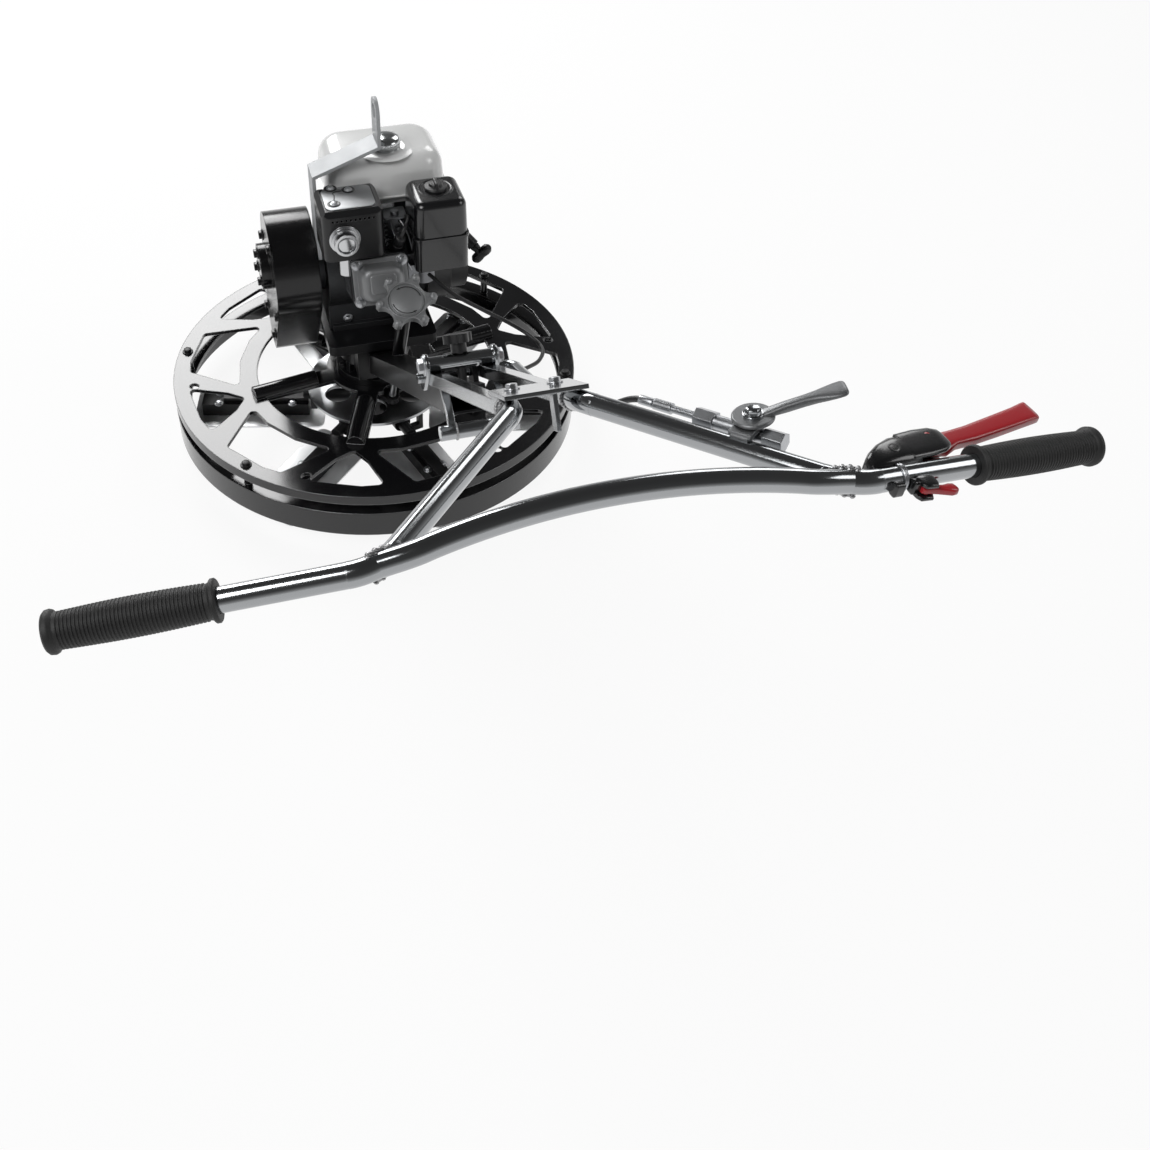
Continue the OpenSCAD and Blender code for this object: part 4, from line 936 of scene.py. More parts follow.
@dataclass
class AirCleaner:
    """Moulded air cleaner cover with a dish for its wing knob."""

    corner: float = 0.014
    shoulder: float = 0.011
    foot: float = 0.001
    taper: float = 0.955
    dish: Profile = ((0.026, -0.0030), (0.0245, 0.0004), (0.022, 0.0004), (0.020, -0.0006), (0.0, -0.0006))
    knob: Profile = ((0.0, 0.0), (0.017, 0.0), (0.017, 0.0025), (0.0155, 0.004), (0.010, 0.0048),
                     (0.0085, 0.008), (0.0, 0.009))
    wing: tuple[float, float] = (0.0062, 0.026)
    wing_low: float = 0.003
    wing_corner: float = 0.003
    wing_rim: float = 0.0028
    wing_taper: float = 0.8

    def build(self, shop: Workshop) -> None:
        """Moulds the cover and the knob in the space of their solids.

        Args:
            shop: The workshop.
        """
        room = Room.of("air_cleaner_cover")
        seat = Room.of("air_cleaner_knob")
        cover = Blank()
        cover.block(room.size, Matrix.Translation(room.foot), self.corner, self.shoulder, self.foot,
                    self.taper, segments=8)
        cover.lathe(self.dish, Matrix.Translation((seat.foot.x, seat.foot.y, room.high.z)))
        shop.place(cover, "cleaner_cover", GLOSSY, "frame", ("air_cleaner_cover",), sharp=30)
        knob = Blank()
        knob.lathe(self.knob, Matrix.Translation(seat.foot))
        wing = Matrix.Translation(seat.foot + Vector((0, 0, self.wing_low)))
        knob.block((*self.wing, seat.size.z - self.wing_low), wing, self.wing_corner, self.wing_rim,
                   taper=self.wing_taper)
        shop.place(knob, "cleaner_wing_knob", PLASTIC, "air_cleaner_knob", ("air_cleaner_knob",), sharp=35)


@dataclass
class Cylinder:
    """Valve cover with its bolts, and the spark plug's boot and lead."""

    x: float = -0.008
    crank_z: float = 0.312
    tilt: float = 18.0
    reach: float = 0.150
    wide: float = 0.080
    low: float = 0.038
    deep: float = 0.069
    flange: float = 0.005
    flange_corner: float = 0.012
    flange_rim: float = 0.0015
    crown_in: float = 0.0065
    crown_low: float = 0.004
    crown_h: float = 0.025
    crown_corner: float = 0.014
    crown_rim: float = 0.008
    crown_taper: float = 0.86
    pad: Point = (0.0368, 0.0276, 0.0016)
    pad_at: Point = (0.0, 0.002, 0.0285)
    pad_corner: float = 0.005
    pad_rim: float = 0.0008
    ear_in: float = 0.007
    ear_r: float = 0.0085
    ear_h: float = 0.0062
    ear_edge: float = 0.001
    head: float = 0.0055
    head_z: float = 0.006
    # Bolts of the case, in x from its left and from its right side
    left_bolts: tuple[Point, ...] = ((0.040, -0.0505, 0.232),)
    right_bolts: tuple[Point, ...] = ((-0.014, -0.0735, 0.300), (-0.014, -0.062, 0.352))
    plug_at: Point = (0.022, -0.112, 0.384)
    plug_lean: Point = (0.10, -0.55, 0.83)
    # Start, end, both radii and edge of each length of the boot
    boot: tuple[Row, ...] = ((0.0, 0.020, 0.0105, 0.0095, 0.001), (0.018, 0.040, 0.0088, 0.0078, 0.002))
    lead_from: float = 0.036
    lead_rise: float = 0.012
    lead_r: float = 0.0034
    lead: tuple[Point, ...] = ((0.012, 0.006, 0.020), (0.016, 0.034, 0.012), (0.012, 0.062, -0.010))

    @property
    def face(self) -> Matrix:
        """Sets the frame of the cover's joint face.

        Returns:
            The frame, with Z along the bore.
        """
        lean = Matrix.Rotation(math.radians(90 - self.tilt), 4, "X")
        bore = Matrix.Translation((self.x, 0.0, self.crank_z)) @ lean
        return bore @ Matrix.Translation((0.0, self.deep / 2 - self.low, self.reach))

    @property
    def ears(self) -> list[tuple[float, float]]:
        """Places the cover's four bolts on its joint face.

        Returns:
            Where each bolt goes, across and along the face.
        """
        x = self.wide / 2 - self.ear_in
        y = self.deep / 2 - self.ear_in
        return [(side * x, end * y) for side in (-1, 1) for end in (-1, 1)]

    def build(self, shop: Workshop) -> None:
        """Casts the valve cover and adds what stands round it.

        Args:
            shop: The workshop.
        """
        face = self.face
        cover = Blank()
        flange = (self.wide, self.deep, self.flange)
        cover.block(flange, face, self.flange_corner, self.flange_rim, segments=6)
        crown = (self.wide - 2 * self.crown_in, self.deep - 2 * self.crown_in, self.crown_h)
        crown_at = face @ Matrix.Translation((0.0, 0.0, self.crown_low))
        cover.block(crown, crown_at, self.crown_corner, self.crown_rim, taper=self.crown_taper, segments=7)
        pad_at = face @ Matrix.Translation(self.pad_at)
        cover.block(self.pad, pad_at, self.pad_corner, self.pad_rim, segments=4)
        for x, y in self.ears:
            low = face @ Vector((x, y, 0.0))
            high = face @ Vector((x, y, self.ear_h))
            cover.rod(low, high, self.ear_r, edge=self.ear_edge)
        shop.place(cover, "valve_cover_casting", COVER, "frame", ("valve_cover",), sharp=35)
        self.fasten(shop)
        self.plug(shop)

    def fasten(self, shop: Workshop) -> None:
        """Bolts the cover and the crankcase.

        Args:
            shop: The workshop.
        """
        case = Room.of("crankcase")
        heads = Blank()
        for x, y in self.ears:
            heads.bolt(self.face @ Vector((x, y, self.head_z)), heading(self.face), self.head)
        for side, bolts in ((case.low.x, self.left_bolts), (case.high.x, self.right_bolts)):
            for x, y, z in bolts:
                heads.bolt((side + x, y, z), FRONT, self.head)
        shop.place(heads, "engine_bolts", ZINC, "frame")

    def plug(self, shop: Workshop) -> None:
        """Adds the spark plug boot and its lead, between the muffler and the air cleaner.

        Args:
            shop: The workshop.
        """
        root = Vector(self.plug_at)
        lean = Vector(self.plug_lean).normalized()
        boot = Blank()
        for start, end, radius, far_radius, edge in self.boot:
            boot.rod(root + lean * start, root + lean * end, radius, far_radius, edge=edge)
        tip = root + lean * self.lead_from
        lead = (tip, tip + lean * self.lead_rise, *(tip + Vector(spot) for spot in self.lead))
        boot.tube(lead, self.lead_r)
        shop.place(boot, "plug_boot_and_lead", CABLE, "frame")


@dataclass
class Governor:
    """Control plate with its rods and spring, and the fuel line."""

    wall: Point = (0.034, 0.003, 0.046)
    wall_at: Point = (0.026, -0.070, 0.380)
    shelf: Point = (0.034, 0.030, 0.003)
    shelf_at: Point = (0.026, -0.084, 0.424)
    shelf_corner: float = 0.004
    shelf_rim: float = 0.001
    bolts: tuple[Point, ...] = ((0.016, -0.0715, 0.408), (0.034, -0.0715, 0.392))
    head: float = 0.0048
    stud: tuple[Point, Point] = ((0.026, -0.090, 0.4265), (0.026, -0.090, 0.434))
    stud_r: float = 0.006
    stud_edge: float = 0.001
    rods: tuple[tuple[Point, ...], ...] = (
        ((0.030, -0.094, 0.424), (0.038, -0.108, 0.412), (0.047, -0.122, 0.374), (0.052, -0.122, 0.362)),
        ((0.018, -0.092, 0.424), (0.022, -0.116, 0.402), (0.036, -0.126, 0.366), (0.042, -0.124, 0.352)),
    )
    rod_r: float = 0.0011
    spring_at: Point = (0.012, -0.086, 0.416)
    spring_run: tuple[float, float] = (-0.00055, -0.0009)
    spring_r: float = 0.0028
    spring_wire: float = 0.0006
    spring_turns: int = 10
    spring_steps: int = 8
    line: tuple[Point, ...] = ((0.060, -0.036, 0.430), (0.060, -0.052, 0.420), (0.052, -0.070, 0.396),
                               (0.050, -0.086, 0.366), (0.056, -0.096, 0.346))
    line_r: float = 0.0038

    def build(self, shop: Workshop) -> None:
        """Builds the plate, hangs the rods and the spring on it and lays the line.

        Args:
            shop: The workshop.
        """
        plate = Blank()
        plate.block(self.wall, Matrix.Translation(self.wall_at))
        plate.block(self.shelf, Matrix.Translation(self.shelf_at), self.shelf_corner, self.shelf_rim)
        for spot in self.bolts:
            plate.bolt(spot, FRONT, self.head)
        plate.rod(*self.stud, self.stud_r, edge=self.stud_edge)
        shop.place(plate, "control_plate", CARB, "frame")
        rods = Blank()
        for route in self.rods:
            rods.tube(route, self.rod_r)
        rods.tube(self.spring(), self.spring_wire, steps=2, sides=2)
        shop.place(rods, "governor_rods", ZINC, "frame")
        line = Blank()
        line.tube(self.line, self.line_r)
        shop.place(line, "fuel_line", CABLE, "frame")

    def spring(self) -> list[Point]:
        """Winds the spring's wire.

        Returns:
            The points of its middle line.
        """
        x, y, z = self.spring_at
        back, rise = self.spring_run
        points = []
        for k in range(self.spring_turns * self.spring_steps + 1):
            turn = k * math.tau / self.spring_steps
            points.append((x + self.spring_r * math.cos(turn), y + back * turn,
                           z + rise * turn + self.spring_r * math.sin(turn)))
        return points


@dataclass
class MufflerTop:
    """Bright top plate of the muffler guard with its sunk bolts and slot, and the outlet's screen."""

    inset: float = 0.009
    thick: float = 0.0012
    corner: float = 0.010
    rim: float = 0.00072
    wells: tuple[tuple[float, float], ...] = ((-0.022, -0.014), (0.004, 0.020), (-0.020, 0.029))
    well: Profile = ((0.0094, 0.0), (0.0082, 0.0007), (0.0072, 0.0007), (0.0060, 0.0001), (0.0, 0.0001))
    groove: tuple[tuple[float, float], ...] = ((-0.020, -0.004), (-0.018, 0.008), (-0.018, 0.016),
                                               (-0.006, 0.018))
    groove_r: float = 0.0009
    head: float = 0.0042
    head_h: float = 0.0022
    outlet: Point = (-0.056, -0.1605, 0.432)
    screen: Profile = ((0.0131, -0.004), (0.0131, 0.0), (0.0124, 0.0016), (0.0095, 0.0026), (0.0, 0.0032))

    def build(self, shop: Workshop) -> None:
        """Lays the plate on the guard.

        Args:
            shop: The workshop.
        """
        room = Room.of("muffler_shield")
        top = Matrix.Translation(room.crown)
        plate = Blank()
        size = (room.size.x - 2 * self.inset, room.size.y - 2 * self.inset, self.thick)
        plate.block(size, top, self.corner, self.rim, segments=6)
        shop.place(plate, "muffler_top_plate", PLATE, "frame")
        dark = Blank()
        heads = Blank()
        for x, y in self.wells:
            spot = top @ Matrix.Translation((x, y, self.thick))
            dark.lathe(self.well, spot)
            heads.bolt(spot.translation, UP, self.head, self.head_h)
        dark.tube([top @ Vector((x, y, self.thick)) for x, y in self.groove], self.groove_r, steps=4, sides=2)
        shop.place(dark, "muffler_wells", SHIELD, "frame")
        shop.place(heads, "muffler_bolts", ZINC, "frame")
        screen = Blank()
        screen.lathe(self.screen, stand(self.outlet, FRONT))
        shop.place(screen, "outlet_screen", EXHAUST, "frame", sharp=50)


@dataclass
class BeltGuardTrim:
    """Bolts on the belt guard and the oil filler on the crankcase."""

    head: float = 0.0065
    boss_bolts: int = 3
    boss_r: float = 0.024
    crank_z: float = 0.312
    rim_in: float = 0.015
    rim_bolts: tuple[tuple[float, float], ...] = ((-0.066, 0.262), (-0.052, 0.372), (0.060, 0.330),
                                                  (0.100, 0.175), (0.022, 0.170))
    filler_at: Point = (0.048, -0.056, 0.238)
    filler_lean: Point = (0.0, -0.85, 0.5)
    filler: Profile = ((0.0, 0.0), (0.012, 0.0), (0.012, 0.010), (0.015, 0.011), (0.015, 0.019),
                       (0.013, 0.021), (0.0, 0.0215))

    def build(self, shop: Workshop) -> None:
        """Fastens the guard and adds the filler.

        Args:
            shop: The workshop.
        """
        face = Room.of("belt_guard").low.x
        heads = Blank()
        for k in range(self.boss_bolts):
            out = polar(math.radians(90 + 360 * k / self.boss_bolts), self.boss_r)
            heads.bolt((face, out.x, self.crank_z + out.y), LEFT, self.head)
        for y, z in self.rim_bolts:
            heads.bolt((face + self.rim_in, y, z), LEFT, self.head)
        shop.place(heads, "guard_bolts", GUARD, "frame")
        filler = Blank()
        filler.lathe(self.filler, stand(self.filler_at, self.filler_lean))
        shop.place(filler, "oil_filler", PLASTIC, "frame", sharp=35)


@dataclass
class StarterGrip:
    """Moulded pull handle of the recoil starter, with its rope."""

    at: Point = (0.150, -0.064, 0.340)
    pull: Point = (0.6, -0.5, -0.62)
    neck_r: float = 0.004
    neck: tuple[float, float] = (-0.012, 0.003)
    boss: Profile = ((0.0, 0.0004), (0.0066, 0.0004), (0.0072, 0.002), (0.0060, 0.008), (0.0064, 0.015),
                     (0.0, 0.015))
    bar_out: float = 0.017
    # Half of the bar's outline, from its middle to its end
    bar: Profile = ((0.006992, 0.0), (0.008056, 0.0095), (0.0076, 0.015), (0.004712, 0.019), (0.0, 0.019))
    rope_r: float = 0.0024
    rope: tuple[float, float] = (-0.018, -0.002)

    def build(self, shop: Workshop) -> None:
        """Moulds the handle in the space of its solid and adds a short rope at its neck, fixed in place.

        Args:
            shop: The workshop.
        """
        frame = stand(self.at, self.pull)
        start, end = (frame @ Vector((0, 0, along)) for along in self.neck)
        grip = Blank()
        grip.rod(start, end, self.neck_r)
        grip.lathe(self.boss, frame)
        across = frame @ Matrix.Translation((0, 0, self.bar_out)) @ Matrix.Rotation(math.pi / 2, 4, "Y")
        grip.lathe([*((r, -z) for r, z in reversed(self.bar)), *self.bar[1:]], across)
        shop.place(grip, "starter_handle", PLASTIC, "starter_grip", ("starter_grip",), sharp=50)
        foot, knot = (frame @ Vector((0, 0, along)) for along in self.rope)
        rope = Blank()
        rope.rod(foot, knot, self.rope_r, sides=20)
        shop.place(rope, "starter_rope", CABLE, Span("frame", "starter_grip", foot, knot), sharp=60)


@dataclass
class StarKnob:
    """Domed tips, centre plate and turn arrows of the pitch knob."""

    at: Point = (0.013, -0.221, 0.362)
    lean: float = 28.0
    thick: float = 0.011
    lobes: int = 6
    lobe_r: float = 0.038
    tip: Profile = ((0.0056, -0.004), (0.0058, 0.0), (0.005, 0.0032), (0.0035, 0.0046), (0.0, 0.0052))
    plate: Profile = ((0.0225, -0.001), (0.0225, 0.0004), (0.0215, 0.0010), (0.0, 0.0013))
    bead_r: float = 0.0272
    bead: float = 0.0011
    arcs: tuple[float, ...] = (60.0, 240.0)
    arc_r: float = 0.0205
    arc_half: float = 50.0
    arc_knots: int = 12
    arc_line: float = 0.0007
    arc_up: float = 0.0011
    arrow_l: float = 0.005
    arrow_up: float = 0.0009
    arrow_r: float = 0.0016
    arrow_tip: float = 0.0001

    def build(self, shop: Workshop) -> None:
        """Adds the knob's tips, plate and arrows.

        Args:
            shop: The workshop.
        """
        knob = Matrix.Translation(Vector(self.at)) @ Matrix.Rotation(math.radians(self.lean), 4, "X")
        face = knob @ Matrix.Translation((0, 0, self.thick))
        tips = Blank()
        for k in range(self.lobes):
            spot = polar(math.tau * k / self.lobes, self.lobe_r)
            tips.lathe(self.tip, face @ Matrix.Translation(spot), steps=24)
        tips.lathe(self.plate, face)
        tips.ring(face.translation, heading(face), self.bead_r, self.bead)
        shop.place(tips, "star_knob_trim", KNOB, "pitch_knob", sharp=50)
        arrows = Blank()
        for start in self.arcs:
            self.arrow(arrows, face, start)
        shop.place(arrows, "star_knob_arrows", PAINTED_INK, "pitch_knob")

    def arrow(self, arrows: Blank, face: Matrix, middle: float) -> None:
        """Draws one turn arrow.

        Args:
            arrows: The mesh under way.
            face: Frame of the knob's face.
            middle: Angle of the arrow's middle, in degrees.
        """
        spread = [2 * k / self.arc_knots - 1 for k in range(self.arc_knots + 1)]
        arc = [math.radians(middle + self.arc_half * part) for part in spread]
        arrows.tube([face @ polar(turn, self.arc_r, self.arc_up) for turn in arc], self.arc_line, steps=3,
                    sides=2)
        foot = polar(arc[-1], self.arc_r, self.arrow_up)
        ahead = polar(arc[-1] + math.pi / 2, self.arrow_l)
        arrows.rod(face @ foot, face @ (foot + ahead), self.arrow_r, self.arrow_tip, sides=12)


@dataclass
class HandleLine:
    """The handle's lines in space: boom, fork, legs, grips and the adjuster's barrel."""

    root: Point = (0.0, -0.070, 0.186)
    angle: float = 32.5
    fork_reach: float = 1.0
    rail_x: float = 0.030
    leg: Point = (0.155, -0.198, 0.040)
    grip: Point = (0.238, 0.032, -0.037)
    tube_r: float = 0.010
    barrel_y: float = 0.022
    barrel_up: float = 0.003

    def on_boom(self, along: float, above: float, x: float) -> Vector:
        """Gives a point on the boom.

        Args:
            along: Distance from the boom's root.
            above: Height over its line.
            x: Distance to the right.

        Returns:
            The point.
        """
        c = math.cos(math.radians(self.angle))
        s = math.sin(math.radians(self.angle))
        return Vector(self.root) + Vector((x, above * s - along * c, along * s + above * c))

    def on_barrel(self, along: float) -> Vector:
        """Gives a point on the adjuster's axis, at a distance along the leg."""
        return self.leg_frame @ Vector((-self.barrel_up, self.barrel_y, along))

    @property
    def fork(self) -> Vector:
        """Where the right leg leaves the rail."""
        return self.on_boom(self.fork_reach, 0.0, self.rail_x)

    @property
    def bend(self) -> Vector:
        """Where the right leg bends into the grip."""
        return self.fork + Vector(self.leg)

    @property
    def leg_frame(self) -> Matrix:
        """Frame of the right leg: Z along it, Y outward and -X up."""
        return stand(self.fork, self.leg)

    @property
    def grip_frame(self) -> Matrix:
        """Frame of the right grip: Z along it, Y forward and -X up."""
        return stand(self.bend, self.grip)


@dataclass
class CrossBar:
    """The bowed bar between the bends, run into both tubes and welded there."""

    line: HandleLine
    sag: float = 0.026
    lean: float = 35.0
    bend_r: float = 0.040
    knots: int = 11
    knots_to_bend: int = 13
    bead: float = 0.0021
    bead_out: float = 0.0006
    bead_knots: int = 24
    bead_reach: float = 1.1
    ripple_r: float = 0.00105
    ripple: float = 0.00189
    ripple_lumps: int = 5

    @property
    def meeting(self) -> Vector:
        """Finds the middle of the right tube's bend.

        Returns:
            That point, on the tube's own middle line.
        """
        back = -Vector(self.line.leg).normalized()
        out = Vector(self.line.grip).normalized()
        half = math.acos(back.dot(out)) / 2
        return self.line.bend + (back + out).normalized() * self.bend_r * (1.0 / math.sin(half) - 1.0)

    def build(self, shop: Workshop) -> None:
        """Bows the bar and lays the weld beads.

        Args:
            shop: The workshop.
        """
        wide = self.line.bend.x
        radius = (wide ** 2 + self.sag ** 2) / (2 * self.sag)
        sweep = math.asin(wide / radius)
        up = Matrix.Rotation(math.radians(self.lean), 4, "X")
        base = Vector((0.0, self.line.bend.y, self.line.bend.z))
        arc = []
        for k in range(-self.knots, self.knots + 1):
            turn = sweep * k / self.knots_to_bend
            rise = radius * (math.cos(turn) - 1.0) + self.sag
            arc.append(base + up @ Vector((radius * math.sin(turn), rise, 0.0)))
        right = self.meeting
        left = Vector((-right.x, right.y, right.z))
        bar = Blank()
        bar.tube((left, *arc, right), self.line.tube_r, steps=6, sides=12)
        shop.place(bar, "cross_bar_tube", CHROME, "handle", ("cross_bar",), sharp=60)
        beads = Blank()
        for side in (-1, 1):
            self.weld(beads, arc[-1], side)
        shop.place(beads, "cross_bar_welds", WELD, "handle", sharp=60)

    def weld(self, beads: Blank, inner: Vector, side: int) -> None:
        """Lays a rippled bead along the seam of the bar and a leg.

        Args:
            beads: The mesh under way.
            inner: A point on the bar's middle line near the right bend.
            side: 1 for the right end and -1 for the left.
        """
        back = -Vector(self.line.leg).normalized()
        bar = (inner - self.meeting).normalized()
        half = math.acos(back.dot(bar)) / 2
        ahead = (back + bar).normalized()
        across = back.cross(bar).normalized()
        seam = []
        for k in range(self.bead_knots + 1):
            turn = math.pi * (k / self.bead_knots - 0.5) * self.bead_reach
            spot = self.meeting + ahead * (math.cos(turn) * self.line.tube_r / math.sin(half))
            spot += across * math.sin(turn) * (self.line.tube_r + self.bead_out)
            seam.append(Vector((side * spot.x, spot.y, spot.z)))
        beads.tube(seam, self.bead, steps=3)
        for spot in seam[::2]:
            beads.ring(spot, ahead, self.ripple_r, self.ripple, self.ripple_lumps)


@dataclass
class HandleTrim:
    """Weld beads, end caps and fasteners of the handle."""

    line: HandleLine
    leg_weld: float = 0.976
    leg_weld_out: float = 0.0003
    leg_bead: float = 0.0016
    leg_lumps: int = 22
    bail_along: float = 0.690
    bail_drop: float = -0.054
    bail_x: float = 0.0258
    bail_r: float = 0.0085
    bail_bead: float = 0.00128
    bail_lumps: int = 18
    fold_nut: Point = (0.632, 0.016, 0.041)
    fold_nut_r: float = 0.0085
    plate_nut: Point = (0.960, 0.0142, 0.020)
    plate_nut_r: float = 0.0055
    cap_at: Point = (0.584, -0.007, 0.030)
    cap: Point = (0.0144, 0.004, 0.0144)
    cap_edge: float = 0.001

    def build(self, shop: Workshop) -> None:
        """Adds the beads, caps and nuts.

        Args:
            shop: The workshop.
        """
        up = self.line.on_boom(0.0, 1.0, 0.0) - Vector(self.line.root)
        along = self.line.on_boom(1.0, 0.0, 0.0) - Vector(self.line.root)
        level = Matrix.Rotation(math.radians(-self.line.angle), 4, "X")
        beads = Blank()
        nuts = Blank()
        caps = Blank()
        for side in (-1, 1):
            spot = self.line.on_boom(self.leg_weld, 0.0, side * self.line.rail_x)
            beads.ring(spot, along, self.line.tube_r + self.leg_weld_out, self.leg_bead, self.leg_lumps)
            spot = self.line.on_boom(self.bail_along, self.bail_drop, side * self.bail_x)
            beads.ring(spot, (1, 0, 0), self.bail_r, self.bail_bead, self.bail_lumps)
            nuts.bolt(self.on_side(self.fold_nut, side), (side, 0, 0), self.fold_nut_r)
            nuts.bolt(self.on_side(self.plate_nut, side), up, self.plate_nut_r)
            cap_at = Matrix.Translation(self.on_side(self.cap_at, side)) @ level
            caps.block(self.cap, cap_at, rim=self.cap_edge, foot=self.cap_edge)
        shop.place(beads, "handle_welds", WELD, "handle", sharp=60)
        shop.place(nuts, "handle_nuts", ZINC, "handle")
        shop.place(caps, "rail_end_caps", PLASTIC, "handle")

    def on_side(self, spot: Point, side: int) -> Vector:
        """Gives a place on the boom's right or left side, from along, above and out."""
        return self.line.on_boom(spot[0], spot[1], side * spot[2])


@dataclass
class ThrottleControl:
    """Forged throttle lever with its nut and bracket, and the adjuster's thread."""

    line: HandleLine
    along: float = 0.156
    outward: float = 0.024
    above: float = 0.0163
    disc: Profile = ((0.0, 0.0), (0.0168, 0.0), (0.0178, 0.001), (0.0178, 0.003), (0.0168, 0.004),
                     (0.0, 0.0044))
    pin_r: float = 0.003
    pin: tuple[float, float] = (-0.005, 0.002)
    nut_up: float = 0.0044
    nut_r: float = 0.0066
    turn: float = 42.0
    lift: float = 12.0
    lift_from: float = 0.010
    arm_up: float = 0.0034
    arm_power: float = 2.6
    # Reach, half width and half thickness along the lever's arm
    arm: tuple[tuple[float, float, float], ...] = (
        (0.006, 0.0052, 0.0018), (0.014, 0.0052, 0.0034), (0.026, 0.0050, 0.0044), (0.042, 0.0052, 0.0044),
        (0.052, 0.0066, 0.0040), (0.060, 0.0088, 0.0034), (0.067, 0.0102, 0.0028), (0.0725, 0.0104, 0.0026),
        (0.0748, 0.0094, 0.0022), (0.0758, 0.0076, 0.0014),
    )
    # Size of the bracket's plate, web and foot, with the place of each on the leg
    bracket_parts: tuple[tuple[Point, Point], ...] = (
        ((0.0045, 0.034, 0.020), (-0.0133, 0.018, 0.146)),
        ((0.0160, 0.005, 0.009), (-0.0050, 0.0125, 0.1515)),
        ((0.0060, 0.010, 0.016), (-0.010, 0.005, 0.148)),
    )
    bracket_corner: float = 0.001
    thread_from: float = 0.0815
    thread_pitch: float = 0.0015
    thread_turns: int = 15
    thread_r: float = 0.0030
    thread_bead: float = 0.0005

    def build(self, shop: Workshop) -> None:
        """Forges the lever, welds its bracket and threads the adjuster.

        Args:
            shop: The workshop.
        """
        pivot = self.line.leg_frame @ Matrix.Translation((-self.above, self.outward, self.along))
        pivot = pivot @ Matrix.Rotation(-math.pi / 2, 4, "Y")
        start, end = (pivot @ Vector((0, 0, height)) for height in self.pin)
        lever = Blank()
        lever.lathe(self.disc, pivot)
        lever.rod(start, end, self.pin_r)
        rise = math.tan(math.radians(self.lift))
        rows = []
        for reach, wide, thick in self.arm:
            above = self.arm_up + max(0.0, reach - self.lift_from) * rise
            rows.append((reach, -above, 0.0, thick, wide))
        arm = pivot @ Matrix.Rotation(math.radians(self.turn), 4, "Z") @ Matrix.Rotation(math.pi / 2, 4, "Y")
        lever.loft(rows, arm, self.arm_power)
        shop.place(lever, "throttle_paddle", FORGED, "throttle_lever", ("throttle_lever",), sharp=40)
        nut = Blank()
        nut.bolt(pivot @ Vector((0, 0, self.nut_up)), heading(pivot), self.nut_r)
        shop.place(nut, "throttle_nut", CHROME, "throttle_lever")
        bracket = Blank()
        for size, spot in self.bracket_parts:
            bracket.block(size, self.line.leg_frame @ Matrix.Translation(spot), self.bracket_corner)
        shop.place(bracket, "throttle_bracket", FORGED, "handle", ("throttle_base",), sharp=40)
        thread = Blank()
        for k in range(self.thread_turns):
            spot = self.line.on_barrel(self.thread_from + k * self.thread_pitch)
            thread.ring(spot, heading(self.line.leg_frame), self.thread_r, self.thread_bead)
        shop.place(thread, "adjuster_thread", ZINC, "handle", sharp=60)


